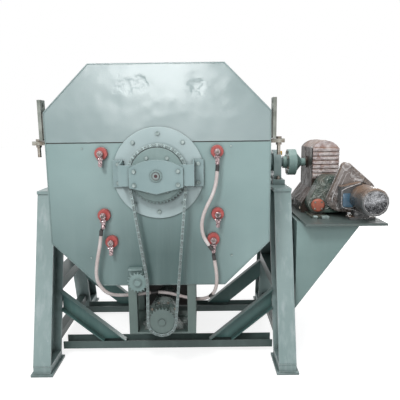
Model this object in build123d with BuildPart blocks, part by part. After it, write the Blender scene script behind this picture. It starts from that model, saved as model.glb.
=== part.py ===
# Tilting rotary drum furnace: octagonal casing on trunnions, chain-driven drum, tilt gearbox.
# Millimetres. Origin on the floor under the trunnion axis, +Z up, -Y towards the drive end.
from build123d import *
import math
import os

os.makedirs("parts", exist_ok=True)

# Casing
case_width = 1245
case_above = 592
case_below = 652
case_depth = 1300
case_chamfer = 255
case_sheet = 6
axis_height = 1245
split_above = 170
split_gap = 4

# Lining and heating chamber
chamber_radius = 500
lining_end = 130
element_radius = 8
element_play = 1
element_socket = 60

# Drum
drum_radius = 310
drum_wall = 10
drum_end_gap = 24
neck_radius = 190
neck_wall = 10
neck_gap = 12
neck_reach = 58
cone_length = 90
shaft_radius = 45
shaft_gap = 12
tyre_radius = 215
tyre_width = 28
tyre_setback = 14
shaft_proud = 2

# Front end: flange, brackets, bearing plate
flange_radius = 254
flange_thick = 12
flange_chamfer = 2
flange_bolt_radius = 217
flange_bolt_angles = (51, 90, 129, 231, 270, 309)
bracket_foot_width = 58
bracket_foot_height = 150
bracket_foot_x = 221
bracket_foot_thick = 12
bracket_bolt_rise = 52
front_bolt_size = 11
front_bolt_head = 9
face_bolt_places = ((-419, 139), (402, 144), (405, -476), (-399, -483))
face_bolt_size = 6
face_bolt_head = 4
bracket_web = 8
front_pad_height = 112
bracket_pad_inner = 98
bracket_pad_thick = 12
plate_half_width = 142
plate_top = 84
plate_shoulder = 40
plate_side_bottom = -62
plate_point = -98
plate_thick = 12
plate_bolt_x = 115
plate_bolt_high = 24
plate_bolt_low = -48
plate_stand_off = 142
stub_radius = 20
stub_overhang = 14
bearing_ring_radius = 31
bearing_ring_proud = 7
running_gap = 0.05

# Chain drive
chain_pitch = 19.05
roller_radius = 5.95
roller_play = 0.3
chain_inner_width = 12.57
link_plate = 2.4
link_height = 16
link_play = 0.3
pin_radius = 3
pin_length = 26
bush_play = 0.1
drum_teeth = 52
motor_teeth = 26
idler_teeth = 18
chain_links = 128
chain_stand_off = 75
sprocket_thick = 11
tooth_height = 4.6
tooth_flare = 3.4
tooth_depth = 3
motor_offset = 4
motor_drop = 843
idler_drop = 607
idler_guess = -129
idler_search = 60
search_steps = 60
hub_disc_radius = 144
hub_disc_thick = 10
hub_radius = 62
hub_sleeve = 24
hub_bolt_radius = 104
hub_bolt_angles = (0, 58, 122, 180, 238, 302)
hub_bolt_size = 10
hub_bolt_head = 8

# Idler and its bracket on the casing front
idler_pin_radius = 12
idler_hub_radius = 22
idler_hub_proud = 8
idler_play = 0.5
idler_boss_radius = 20
idler_washer_radius = 17
idler_washer_thick = 5
idler_plate_width = 78
idler_plate_left = 56
idler_plate_thick = 10
idler_plate_above = 66
idler_plate_below = 38
idler_shelf_depth = 48
idler_shelf_thick = 8

# Cradle and drum motor
cradle_post_inner = 147
cradle_post_width = 49
cradle_post_depth = 60
cradle_length = 290
cradle_depth = 380
cradle_plate = 10
motor_radius = 64
motor_front = 36
motor_length = 300
motor_shaft_radius = 15
motor_shaft_depth = 50
motor_shaft_gap = 2
motor_nose_radius = 46
motor_nose = 10
motor_boss_radius = 19
motor_boss_length = 10
gear_head_radius = 84
gear_head_length = 60
motor_band = 8
motor_band_setback = 140
motor_band_length = 14
motor_foot_width = 270
motor_foot_length = 180
motor_foot_thick = 12
gusset_low = 118
gusset_high = 60
gusset_top = 78
motor_stem_width = 78
motor_stem_length = 150

# Element terminals: x and height above the axis
terminal_places = (
    (-312, 112),
    (-311, -232),
    (-275, -386),
    (325, 117),
    (326, -231),
    (301, -376),
)
disc_radius = 36
disc_thick = 26
disc_taper = 4
clamp_stand_off = 40
clamp_width = 22
clamp_length = 84
clamp_thick = 6
clamp_boss_radius = 14
clamp_boss_length = 20
clamp_screw_radius = 8
clamp_screw_height = 5
clamp_screw_shank = 4
clamp_screw_inset = 12

# Cables between terminals
cable_radius = 10
cable_clearance = 1
cable_bend_share = 0.45
lug_radius = 10.5
lug_length = 30
lug_tongue_width = 18
lug_tongue_thick = 3
lug_tongue_pitch = 3.1

# Stand
leg_x = 750
leg_width = 107
leg_depth = 220
leg_plate = 12
leg_bottom = 62
foot_front = 605
top_front = 327
shoe_height = 47
foot_plate = 15
foot_margin = 14
foot_hole_radius = 9
foot_hole_offset = 30
top_plate_width = 112
top_plate_thick = 20
top_plate_margin = 6
rail_front = 344
rail_width = 104
rail_height = 50
rail_bottom = 42
rail_plate = 6
side_rail_width = 60
side_rail_height = 50
mid_rail_bottom = 440
mid_rail_height = 70
brace_width = 100
brace_depth = 48
brace_plate = 6
brace_top = 441
brace_foot_reach = 419

# Trunnions and pillow blocks
trunnion_plate_size = 290
trunnion_plate_thick = 16
trunnion_radius = 45
trunnion_overhang = 12
collar_radius = 59
collar_gap = 3
block_x = 757
block_width = 50
block_radius = 88
block_base_width = 80
block_base_length = 300
block_base_height = 34
block_axis_height = 140
block_flare = 12
block_bolt_spacing = 236
block_bolt_radius = 10
block_bolt_proud = 24
block_nut_size = 15
block_nut_height = 14
cup_radius = 9
cup_length = 28
cup_below_stem = 10
cup_stem_radius = 5
cup_stem_rise = 60
cup_stem_reach = 12
cup_seat = 4

# Coupling
trunnion_end_radius = 30
coupling_start = 806
coupling_hub_radius = 42
coupling_hub_length = 32
coupling_radius = 90
coupling_plate = 27
coupling_cone = 40
coupling_cone_radius = 76
coupling_tail_radius = 27
coupling_tail = 30
coupling_bolt_size = 10
coupling_bolt_head = 9
coupling_bolt_circle = 68
coupling_bolts = 6
coupling_bolt_turn = 30
output_radius = 22

# Tilt gearbox, first stage case and motor
box_left = 972
box_width = 176
box_length = 320
box_above = 149
box_side_above = 99
box_shoulder_drop = 165
box_flare = 68
box_flare_drop = 260
box_wall = 14
base_length = 360
platform_drop = 325
rib_count = 7
rib_height = 15
rib_pitch = 28
rib_proud = 16
rib_inset = 4
rib_above = 93
seal_radius = 40
seal_length = 8
wheel_radius = 109.5
wheel_width = 44
wheel_gap = 5
worm_drop = 145
worm_radius = 35
worm_gap = 3
worm_journal = 18
worm_setback = 38
worm_end_gap = 1
stage_depth = 110
stage_worm_radius = 80
stage_cap_x = 983
stage_cap_drop = 255
stage_cap_radius = 58
stage_motor_radius = 112
stage_round = 10
stage_foot_width = 114
stage_foot_front = 395
stage_foot_thick = 9
stage_riser_width = 70
stage_riser_inset = 16
cap_radius = 42
cap_thick = 26
cap_chamfer = 9
tilt_motor_x = 1226
tilt_motor_drop = 189
tilt_motor_radius = 79
tilt_motor_length = 330
tilt_motor_round = 10
bell_radius = 108
bell_thick = 50
bell_corner = (-80, 180)
bell_corner_radius = 24
bell_foot = (-126, -31)
bell_foot_radius = 60
terminal_box_outline = ((-136, -64), (-136, 66), (-14, 94), (0, 0), (-60, -64))
terminal_box_setback = 60
terminal_box_length = 75
tilt_foot_width = 160
tilt_foot_length = 90
tilt_foot_thick = 14
tilt_foot_setback = 190
tilt_stem_width = 90
tilt_stem_length = 70

# Platform and its bracket
platform_left = 850
platform_width = 486
platform_front = 547
platform_back = 330
platform_thick = 14
bracket_left = 830
bracket_right = 1245
bracket_height = 571
bracket_front = 400
bracket_back = 330
bracket_sheet = 8
bracket_pad_drop = 70
bracket_pad_height = 300
bracket_pad_width = 70

# Lifting lugs, split ears and their bolts
lug_bar_thick = 19
lug_bar_depth = 70
lug_bar_low = 184
lug_bar_high = 405
lug_spacer = 9
lug_hole_radius = 14
lug_hole_inset = 30
lug_spacer_margin = 8
ear_reach = 80
ear_width = 44
ear_thick = 11
ear_y = 600
ear_bolt_radius = 10
ear_bolt_hang = 78
ear_bolt_inset = 30
ear_nut_radius = 16
ear_nut_height = 12

# Door at the mouth
door_radius = 235
door_thick = 12
door_gap = 7
plug_radius = 160
plug_length = 100
plug_taper = 3
hinge_x = -320
hinge_pin_radius = 10
hinge_rise = 100
hinge_pin_proud = 6
knuckle_radius = 18
knuckle_height = 40
strap_width = 36
strap_thick = 10
strap_end = -120
hinge_lug_thick = 14
hinge_lug_width = 50
hinge_play = 0.3
door_ear = 298
door_ear_height = 60
latch_x = 275
spindle_radius = 8
latch_handle = 130
latch_tongue = 44
latch_bar = 22
latch_thick = 12
handle_gap = 3
tongue_gap = 6
keeper_width = 30
keeper_lip = 10
keeper_inner = 303
keeper_outer = 354
keeper_post = 22
keeper_setback = 3
pull_x = 100
pull_height = 120
pull_stand_off = 46
pull_radius = 7
pull_bend = 18

# Support rollers under the neck tyre
support_radius = 45
support_width = 26
support_angle = 35
support_play = 0.2
support_pin_radius = 12
support_pad_radius = 30
support_pad_thick = 8
support_washer_radius = 20
support_washer_thick = 5
support_boss_radius = 18
axle_play = 0.5

# Places worked out from the sizes above
face_y = -case_depth / 2
back_y = case_depth / 2
split_z = axis_height + split_above
case_top = axis_height + case_above
case_bottom = axis_height - case_below
half_width = case_width / 2
chain_y = face_y - chain_stand_off
flange_y = face_y - flange_thick
plate_back_y = face_y - plate_stand_off
plate_front_y = plate_back_y - plate_thick
neck_end_y = back_y + neck_reach
block_bottom = axis_height - block_axis_height
leg_top = block_bottom - top_plate_thick
leg_lean = (foot_front - top_front) / (leg_top - leg_bottom)
platform_top = axis_height - platform_drop


def octagon_points():
    side = half_width
    return [
        (-side + case_chamfer, case_top),
        (side - case_chamfer, case_top),
        (side, case_top - case_chamfer),
        (side, case_bottom + case_chamfer),
        (side - case_chamfer, case_bottom),
        (-side + case_chamfer, case_bottom),
        (-side, case_bottom + case_chamfer),
        (-side, case_top - case_chamfer),
    ]


def octagon_prism(inset, from_y, to_y):
    with BuildPart() as prism:
        with BuildSketch(facing_front(to_y)):
            Polygon(*octagon_points(), align=None)
            if inset:
                offset(amount=-inset, kind=Kind.INTERSECTION, mode=Mode.REPLACE)
        extrude(amount=to_y - from_y)
    return prism.part


def facing_front(y):
    # A plane across the furnace at y, looking towards the drive end; local y is up.
    return Plane.XZ.offset(-y)


def rod(radius, start, end):
    # A round bar between two points.
    line = Vector(*end) - Vector(*start)
    with BuildPart() as bar:
        with BuildSketch(Plane(origin=start, z_dir=line)):
            Circle(radius)
        extrude(amount=line.length)
    return bar.part


def hex_bolt(place, direction, size, head):
    # A hexagon head seated at a point and standing along a direction.
    with BuildPart() as bolt:
        with BuildSketch(Plane(origin=place, z_dir=direction)):
            RegularPolygon(size, 6)
        extrude(amount=head)
    return bolt.part


# Casing halves: a welded sheet shell with end plates, parted above the axis
def casing_half(keep):
    side = 1 if keep == Keep.TOP else -1
    with BuildPart() as half:
        add(octagon_prism(0, face_y, back_y))
        add(
            octagon_prism(case_sheet, face_y + case_sheet, back_y - case_sheet),
            mode=Mode.SUBTRACT,
        )
        with BuildSketch(facing_front(back_y)):
            with Locations((0, axis_height)):
                Circle(neck_radius + neck_gap)
        extrude(amount=case_sheet, mode=Mode.SUBTRACT)
        with BuildSketch(facing_front(face_y)):
            with Locations((0, axis_height)):
                Circle(shaft_radius + shaft_gap)
            with Locations(*[(x, axis_height + rise) for x, rise in terminal_places]):
                Circle(element_radius + element_play)
        extrude(amount=-case_sheet, mode=Mode.SUBTRACT)
        split(bisect_by=Plane.XY.offset(split_z + side * split_gap / 2), keep=keep)
    return half.part


with BuildPart() as lower_casing:
    add(casing_half(Keep.BOTTOM))

with BuildPart() as upper_casing:
    add(casing_half(Keep.TOP))


# Lining halves: fibre blocks with a round heating chamber
def lining_half(keep):
    inner_face = face_y + case_sheet
    inner_back = back_y - case_sheet
    with BuildPart() as half:
        add(octagon_prism(case_sheet, inner_face, inner_back))
        with BuildSketch(facing_front(inner_back - lining_end)):
            with Locations((0, axis_height)):
                Circle(chamber_radius)
        extrude(amount=case_depth - 2 * case_sheet - 2 * lining_end, mode=Mode.SUBTRACT)
        with BuildSketch(facing_front(inner_back)):
            with Locations((0, axis_height)):
                Circle(neck_radius + neck_gap)
        extrude(amount=lining_end, mode=Mode.SUBTRACT)
        with BuildSketch(facing_front(inner_face)):
            with Locations((0, axis_height)):
                Circle(shaft_radius + shaft_gap)
        extrude(amount=-lining_end, mode=Mode.SUBTRACT)
        with BuildSketch(facing_front(inner_face)):
            with Locations(*[(x, axis_height + rise) for x, rise in terminal_places]):
                Circle(element_radius + element_play)
        element_run = case_depth - 2 * case_sheet - lining_end + element_socket
        extrude(amount=-element_run, mode=Mode.SUBTRACT)
        split(bisect_by=Plane.XY.offset(split_z), keep=keep)
    return half.part


with BuildPart() as lower_lining:
    add(lining_half(Keep.BOTTOM))

with BuildPart() as upper_lining:
    add(lining_half(Keep.TOP))

# Heating elements: straight rods through the front wall, socketed in the rear wall
element_end = back_y - case_sheet - lining_end + element_socket - element_play
with BuildPart() as heating_elements:
    for x, rise in terminal_places:
        start = (x, face_y - clamp_stand_off - clamp_boss_length, axis_height + rise)
        add(rod(element_radius, start, (x, element_end, axis_height + rise)))

# Drum: shell, front plate and shaft, rear cone, neck and tyre as one weldment
drum_front = face_y + case_sheet + lining_end + drum_end_gap
drum_back = back_y - case_sheet - lining_end - drum_end_gap
cone_start = drum_back - cone_length
stub_front = plate_front_y - stub_overhang
journal_front = chain_y - sprocket_thick / 2 - hub_disc_thick - shaft_proud
tyre_back = neck_end_y - tyre_setback
with BuildPart() as drum:
    with BuildSketch(Plane.YZ):
        with BuildLine():
            Polyline(
                (stub_front, 0),
                (stub_front, stub_radius),
                (journal_front, stub_radius),
                (journal_front, shaft_radius),
                (drum_front, shaft_radius),
                (drum_front, drum_radius),
                (cone_start, drum_radius),
                (drum_back, neck_radius),
                (tyre_back - tyre_width, neck_radius),
                (tyre_back - tyre_width, tyre_radius),
                (tyre_back, tyre_radius),
                (tyre_back, neck_radius),
                (neck_end_y, neck_radius),
                (neck_end_y, neck_radius - neck_wall),
                (drum_back - neck_wall, neck_radius - neck_wall),
                (cone_start - drum_wall, drum_radius - drum_wall),
                (drum_front + drum_wall, drum_radius - drum_wall),
                (drum_front + drum_wall, 0),
                close=True,
            )
        make_face()
    revolve(axis=Axis.Y)
drum.part = drum.part.moved(Location((0, 0, axis_height)))

# End flange on the front plate
with BuildPart() as end_flange:
    with BuildSketch(facing_front(face_y)):
        with Locations((0, axis_height)):
            Circle(flange_radius)
            Circle(shaft_radius + shaft_gap, mode=Mode.SUBTRACT)
    extrude(amount=flange_thick)
    chamfer(end_flange.faces().sort_by(Axis.Y)[0].edges(), length=flange_chamfer)


# Bearing brackets: foot on the flange, web forward, pad behind the bearing plate
def bearing_bracket(side):
    web_x = bracket_foot_x - bracket_foot_width / 2
    foot_y = flange_y - bracket_foot_thick
    with BuildPart() as bracket:
        with BuildSketch(facing_front(flange_y)):
            with Locations((side * bracket_foot_x, axis_height)):
                Rectangle(bracket_foot_width, bracket_foot_height)
        extrude(amount=bracket_foot_thick)
        with BuildSketch(Plane.YZ.offset(side * (web_x + bracket_web / 2))):
            with BuildLine():
                Polyline(
                    (foot_y, axis_height - bracket_foot_height / 2),
                    (plate_back_y, axis_height - front_pad_height / 2),
                    (plate_back_y, axis_height + front_pad_height / 2),
                    (foot_y, axis_height + bracket_foot_height / 2),
                    close=True,
                )
            make_face()
        extrude(amount=bracket_web / 2, both=True)
        pad_width = web_x + bracket_web - bracket_pad_inner
        with BuildSketch(facing_front(plate_back_y + bracket_pad_thick)):
            with Locations((side * (bracket_pad_inner + pad_width / 2), axis_height)):
                Rectangle(pad_width, front_pad_height)
        extrude(amount=bracket_pad_thick)
    return bracket.part


with BuildPart() as bearing_brackets:
    add(bearing_bracket(-1))
    add(bearing_bracket(1))

# Bearing plate with a domed top and a shallow pointed foot
with BuildPart() as bearing_plate:
    with BuildSketch(facing_front(plate_back_y)):
        with BuildLine():
            left_top = (-plate_half_width, axis_height + plate_shoulder)
            right_top = (plate_half_width, axis_height + plate_shoulder)
            ThreePointArc(left_top, (0, axis_height + plate_top), right_top)
            Polyline(
                right_top,
                (plate_half_width, axis_height + plate_side_bottom),
                (0, axis_height + plate_point),
                (-plate_half_width, axis_height + plate_side_bottom),
                left_top,
            )
        make_face()
        with Locations((0, axis_height)):
            Circle(bearing_ring_radius, mode=Mode.SUBTRACT)
    extrude(amount=plate_thick)

# Bearing ring pressed into the plate and standing proud of its front
with BuildPart() as front_bearing:
    with BuildSketch(facing_front(plate_back_y)):
        with Locations((0, axis_height)):
            Circle(bearing_ring_radius)
            Circle(stub_radius + running_gap, mode=Mode.SUBTRACT)
    extrude(amount=plate_thick + bearing_ring_proud)

# Hexagon bolts of the flange, the bracket feet, the bearing plate and the front sheet
with BuildPart() as front_bolts:
    for angle in flange_bolt_angles:
        x = flange_bolt_radius * math.cos(math.radians(angle))
        z = axis_height + flange_bolt_radius * math.sin(math.radians(angle))
        add(hex_bolt((x, flange_y, z), (0, -1, 0), front_bolt_size, front_bolt_head))
    for side in (-1, 1):
        for rise in (-bracket_bolt_rise, bracket_bolt_rise):
            foot_y = flange_y - bracket_foot_thick
            place = (side * bracket_foot_x, foot_y, axis_height + rise)
            add(hex_bolt(place, (0, -1, 0), front_bolt_size, front_bolt_head))
        for rise in (plate_bolt_low, plate_bolt_high):
            place = (side * plate_bolt_x, plate_front_y, axis_height + rise)
            add(hex_bolt(place, (0, -1, 0), front_bolt_size, front_bolt_head))
    for x, rise in face_bolt_places:
        place = (x, face_y, axis_height + rise)
        add(hex_bolt(place, (0, -1, 0), face_bolt_size, face_bolt_head))


# Chain run: drum sprocket, outside idler and motor sprocket, joined by tangent lines
def pitch_radius(teeth):
    return chain_pitch / 2 / math.sin(math.pi / teeth)


def wrap_radius(teeth):
    # Radius whose arc per tooth equals the chain pitch.
    return chain_pitch * teeth / (2 * math.pi)


drum_center = (0, axis_height)
motor_center = (motor_offset, axis_height - motor_drop)
drum_pitch = pitch_radius(drum_teeth)
motor_pitch = pitch_radius(motor_teeth)
idler_pitch = pitch_radius(idler_teeth)


def chain_tangent(start, start_radius, start_side, end, end_radius, end_side):
    # Contact points of a line from circle to circle; a side of 1 keeps the centre on the left.
    run = math.atan2(end[1] - start[1], end[0] - start[0])
    shift = end_side * end_radius - start_side * start_radius
    heading = run - math.asin(shift / math.dist(start, end))
    left = (-math.sin(heading), math.cos(heading))
    return [
        (center[0] - reach * left[0], center[1] - reach * left[1])
        for center, reach in ((start, start_side * start_radius), (end, end_side * end_radius))
    ]


def chain_stages(idler_x):
    # The run as arcs and lines, in order, starting where the chain meets the drum sprocket.
    idler = (idler_x, axis_height - idler_drop)
    down = chain_tangent(drum_center, drum_pitch, 1, idler, idler_pitch, -1)
    across = chain_tangent(idler, idler_pitch, -1, motor_center, motor_pitch, 1)
    up = chain_tangent(motor_center, motor_pitch, 1, drum_center, drum_pitch, 1)
    stages = []

    def arc(center, teeth, start, end, side):
        begin = math.atan2(start[1] - center[1], start[0] - center[0])
        finish = math.atan2(end[1] - center[1], end[0] - center[0])
        sweep = side * ((side * (finish - begin)) % (2 * math.pi))
        length = wrap_radius(teeth) * abs(sweep)
        stages.append(("arc", length, center, pitch_radius(teeth), begin, sweep))

    def line(start, end):
        stages.append(("line", math.dist(start, end), start, end))

    arc(drum_center, drum_teeth, up[1], down[0], 1)
    line(*down)
    arc(idler, idler_teeth, down[1], across[0], -1)
    line(*across)
    arc(motor_center, motor_teeth, across[1], up[0], 1)
    line(*up)
    return stages


def chain_length(idler_x):
    return sum(stage[1] for stage in chain_stages(idler_x))


# The idler slides in until the run is a whole number of links.
low, high = idler_guess - idler_search, idler_guess + idler_search
for _ in range(search_steps):
    middle = (low + high) / 2
    if chain_length(middle) > chain_links * chain_pitch:
        high = middle
    else:
        low = middle
idler_x = (low + high) / 2
idler_center = (idler_x, axis_height - idler_drop)
chain_run = chain_stages(idler_x)
print("idler x", round(idler_x, 2), "run", round(chain_length(idler_x) / chain_pitch, 3))


def on_circle(center, radius, angle):
    return (center[0] + radius * math.cos(angle), center[1] + radius * math.sin(angle))


def chain_point(distance):
    for stage in chain_run:
        if distance <= stage[1]:
            share = distance / stage[1]
            if stage[0] == "line":
                start, end = stage[2], stage[3]
                return (
                    start[0] + (end[0] - start[0]) * share,
                    start[1] + (end[1] - start[1]) * share,
                )
            return on_circle(stage[2], stage[3], stage[4] + stage[5] * share)
        distance -= stage[1]
    return chain_point(0)


chain_rollers = [chain_point(i * chain_pitch) for i in range(chain_links)]


def seat_angle(center, radius):
    # Angle of the roller that lies deepest in a sprocket.
    def depth(roller):
        return abs(math.dist(roller, center) - radius)

    near = min(chain_rollers, key=depth)
    return math.atan2(near[1] - center[1], near[0] - center[0])


def chain_link(outer):
    width = chain_inner_width + 2 * link_plate
    inside = width / 2 + link_play if outer else chain_inner_width / 2
    with BuildPart() as link:
        for side in (-1, 1):
            with BuildSketch(Plane.XZ.offset(side * (inside + link_plate / 2))):
                SlotCenterToCenter(chain_pitch, link_height)
            extrude(amount=link_plate / 2, both=True)
        with BuildSketch(Plane.XZ):
            with Locations((-chain_pitch / 2, 0), (chain_pitch / 2, 0)):
                Circle(pin_radius if outer else roller_radius)
        extrude(amount=pin_length / 2 if outer else inside + bush_play, both=True)
        if not outer:
            with BuildSketch(Plane.XZ):
                with Locations((-chain_pitch / 2, 0), (chain_pitch / 2, 0)):
                    Circle(pin_radius + bush_play)
            extrude(amount=inside + 2 * link_plate, both=True, mode=Mode.SUBTRACT)
    return link.part


def link_places(first):
    places = []
    for i in range(first, chain_links, 2):
        start = chain_rollers[i]
        end = chain_rollers[(i + 1) % chain_links]
        turn = math.degrees(math.atan2(end[1] - start[1], end[0] - start[0]))
        middle = ((start[0] + end[0]) / 2, chain_y, (start[1] + end[1]) / 2)
        places.append(Location(middle, (0, -turn, 0)))
    return places


inner_link = chain_link(False)
outer_link = chain_link(True)
with BuildPart() as drive_chain:
    with Locations(*link_places(0)):
        add(inner_link)
    with Locations(*link_places(1)):
        add(outer_link)


def sprocket_sketch(teeth, center):
    # Toothed blank whose gaps seat the rollers; drawn in the chain's plane.
    radius = pitch_radius(teeth)
    gap = roller_radius + roller_play
    flare = gap + tooth_flare
    depth = tooth_height + tooth_depth
    seat = math.degrees(seat_angle(center, radius))
    with BuildSketch() as blank:
        Circle(radius + tooth_height)
        with PolarLocations(radius, teeth, start_angle=seat):
            Circle(gap, mode=Mode.SUBTRACT)
            Polygon(
                (0, -gap),
                (depth, -flare),
                (depth, flare),
                (0, gap),
                align=None,
                mode=Mode.SUBTRACT,
            )
    return blank.sketch


def on_chain_plane(center, stand_off):
    return Plane(origin=(center[0], chain_y - stand_off, center[1]), x_dir=(1, 0, 0), z_dir=(0, -1, 0))


with BuildPart() as drive_sprocket:
    with BuildSketch(on_chain_plane(drum_center, -sprocket_thick / 2)):
        add(sprocket_sketch(drum_teeth, drum_center))
        Circle(hub_radius, mode=Mode.SUBTRACT)
    extrude(amount=sprocket_thick)

# Sprocket hub: sleeve on the shaft with a front disc bolted to the sprocket
hub_back = -sprocket_thick / 2 - hub_sleeve
with BuildPart() as sprocket_hub:
    with BuildSketch(on_chain_plane(drum_center, hub_back)):
        Circle(hub_radius)
    extrude(amount=sprocket_thick / 2 - hub_back)
    with BuildSketch(on_chain_plane(drum_center, sprocket_thick / 2)):
        Circle(hub_disc_radius)
    extrude(amount=hub_disc_thick)
    with BuildSketch(on_chain_plane(drum_center, hub_back)):
        Circle(shaft_radius)
    extrude(amount=hub_disc_thick - hub_back + sprocket_thick, mode=Mode.SUBTRACT)

with BuildPart() as hub_bolts:
    for angle in hub_bolt_angles:
        x = hub_bolt_radius * math.cos(math.radians(angle))
        z = axis_height + hub_bolt_radius * math.sin(math.radians(angle))
        seat_y = chain_y - sprocket_thick / 2 - hub_disc_thick
        add(hex_bolt((x, seat_y, z), (0, -1, 0), hub_bolt_size, hub_bolt_head))

# Motor sprocket with its shaft
motor_face = face_y + motor_front
with BuildPart() as motor_sprocket:
    with BuildSketch(on_chain_plane(motor_center, -sprocket_thick / 2)):
        add(sprocket_sketch(motor_teeth, motor_center))
    extrude(amount=sprocket_thick)
    with BuildSketch(on_chain_plane(motor_center, sprocket_thick / 2)):
        Circle(motor_boss_radius)
    extrude(amount=motor_boss_length)
    back = (motor_center[0], motor_face + motor_shaft_depth, motor_center[1])
    add(rod(motor_shaft_radius, back, (motor_center[0], chain_y, motor_center[1])))

# Idler sprocket, free on its pin
idler_hub_half = sprocket_thick / 2 + idler_hub_proud
with BuildPart() as idler_sprocket:
    with BuildSketch(on_chain_plane(idler_center, -sprocket_thick / 2)):
        add(sprocket_sketch(idler_teeth, idler_center))
    extrude(amount=sprocket_thick)
    with BuildSketch(on_chain_plane(idler_center, -idler_hub_half)):
        Circle(idler_hub_radius)
    extrude(amount=2 * idler_hub_half)
    with BuildSketch(on_chain_plane(idler_center, -idler_hub_half)):
        Circle(idler_pin_radius + running_gap)
    extrude(amount=2 * idler_hub_half, mode=Mode.SUBTRACT)

# Idler bracket: plate with a shelf on the casing front, and the idler's pin with its washer
idler_z = idler_center[1]
with BuildPart() as idler_bracket:
    plate_x = idler_x - idler_plate_left + idler_plate_width / 2
    plate_high = idler_z + idler_plate_above
    plate_low = idler_z - idler_plate_below
    with BuildSketch(facing_front(face_y)):
        with Locations((plate_x, (plate_high + plate_low) / 2)):
            Rectangle(idler_plate_width, plate_high - plate_low)
    extrude(amount=idler_plate_thick)
    with BuildSketch(facing_front(face_y)):
        with Locations((plate_x, plate_high - idler_shelf_thick / 2)):
            Rectangle(idler_plate_width, idler_shelf_thick)
    extrude(amount=idler_shelf_depth)
    pin_start = (idler_x, face_y, idler_z)
    boss_end = (idler_x, chain_y + idler_hub_half + idler_play, idler_z)
    washer = (idler_x, chain_y - idler_hub_half - idler_play, idler_z)
    pin_end = (idler_x, washer[1] - idler_washer_thick, idler_z)
    add(rod(idler_pin_radius, pin_start, pin_end))
    add(rod(idler_boss_radius, pin_start, boss_end))
    add(rod(idler_washer_radius, washer, pin_end))

# Cradle under the casing: four posts and a plate that carry the drum motor
with BuildPart() as cradle_posts:
    post_x = cradle_post_inner + cradle_post_width / 2
    front_post_y = face_y + cradle_post_depth / 2
    rear_post_y = face_y + cradle_depth - cradle_post_depth / 2
    with BuildSketch(Plane.XY.offset(case_bottom)):
        with Locations(
            (-post_x, front_post_y),
            (post_x, front_post_y),
            (-post_x, rear_post_y),
            (post_x, rear_post_y),
        ):
            Rectangle(cradle_post_width, cradle_post_depth)
    extrude(amount=-cradle_length)

cradle_low = case_bottom - cradle_length
with BuildPart() as cradle_floor_plate:
    with BuildSketch(Plane.XY.offset(cradle_low)):
        with Locations((0, face_y + cradle_depth / 2)):
            Rectangle(2 * (cradle_post_inner + cradle_post_width), cradle_depth)
    extrude(amount=-cradle_plate)

# Drum motor: gear head with its nose and feet, barrel with a band, and a foot
with BuildPart() as drum_motor:
    stages = (
        (motor_face, motor_radius, -motor_length),
        (motor_face, gear_head_radius, -gear_head_length),
        (motor_face, motor_nose_radius, motor_nose),
        (motor_face + motor_band_setback, motor_radius + motor_band, motor_band_length),
    )
    for from_y, radius, length in stages:
        with BuildSketch(facing_front(from_y)):
            with Locations(motor_center):
                Circle(radius)
        extrude(amount=length)
    with BuildSketch(Plane.XY.offset(cradle_low)):
        with Locations((motor_offset, motor_face + motor_length / 2)):
            Rectangle(motor_foot_width, motor_foot_length)
    extrude(amount=motor_foot_thick)
    with BuildSketch(Plane.XY.offset(cradle_low)):
        with Locations((motor_offset, motor_face + motor_length / 2)):
            Rectangle(motor_stem_width, motor_stem_length)
    extrude(amount=motor_center[1] - cradle_low)
    with BuildSketch(facing_front(motor_face + gear_head_length)):
        with BuildLine():
            Polyline(
                (motor_offset - gusset_low, cradle_low),
                (motor_offset + gusset_low, cradle_low),
                (motor_offset + gusset_high, cradle_low + gusset_top),
                (motor_offset - gusset_high, cradle_low + gusset_top),
                close=True,
            )
        make_face()
    extrude(amount=gear_head_length)
    bore_front = (motor_center[0], motor_face - motor_nose, motor_center[1])
    bore_back = (motor_center[0], motor_face + motor_shaft_depth + motor_shaft_gap, motor_center[1])
    add(rod(motor_shaft_radius + running_gap, bore_front, bore_back), mode=Mode.SUBTRACT)

# Terminals: insulating discs, then clamps on the element ends
with BuildPart() as terminal_discs:
    for x, rise in terminal_places:
        with BuildSketch(facing_front(face_y)):
            with Locations((x, axis_height + rise)):
                Circle(disc_radius)
                Circle(element_radius, mode=Mode.SUBTRACT)
        extrude(amount=disc_thick, taper=disc_taper)

clamp_y = face_y - clamp_stand_off
clamp_front_y = clamp_y - clamp_thick
screw_drop = clamp_length - clamp_width / 2 - clamp_screw_inset
screw_places = [(x, axis_height + rise - screw_drop) for x, rise in terminal_places]
# How many lug tongues lie under the screw of each terminal
tongues_under_screw = (0, 1, 0, 1, 0, 2)
with BuildPart() as terminal_clamps:
    for x, rise in terminal_places:
        z = axis_height + rise
        with BuildSketch(facing_front(clamp_y)):
            with Locations((x, z - clamp_length / 2 + clamp_width / 2)):
                SlotOverall(clamp_length, clamp_width, rotation=90)
        extrude(amount=clamp_thick)
        with BuildSketch(facing_front(clamp_y)):
            with Locations((x, z)):
                Circle(clamp_boss_radius)
        extrude(amount=clamp_boss_length)
        with BuildSketch(facing_front(clamp_y)):
            with Locations((x, z)):
                Circle(element_radius)
        extrude(amount=clamp_boss_length, mode=Mode.SUBTRACT)
    for (x, z), tongues in zip(screw_places, tongues_under_screw):
        seat_y = clamp_front_y - tongues * lug_tongue_pitch
        add(rod(clamp_screw_shank, (x, clamp_front_y, z), (x, seat_y - clamp_screw_height, z)))
        add(rod(clamp_screw_radius, (x, seat_y, z), (x, seat_y - clamp_screw_height, z)))

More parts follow.
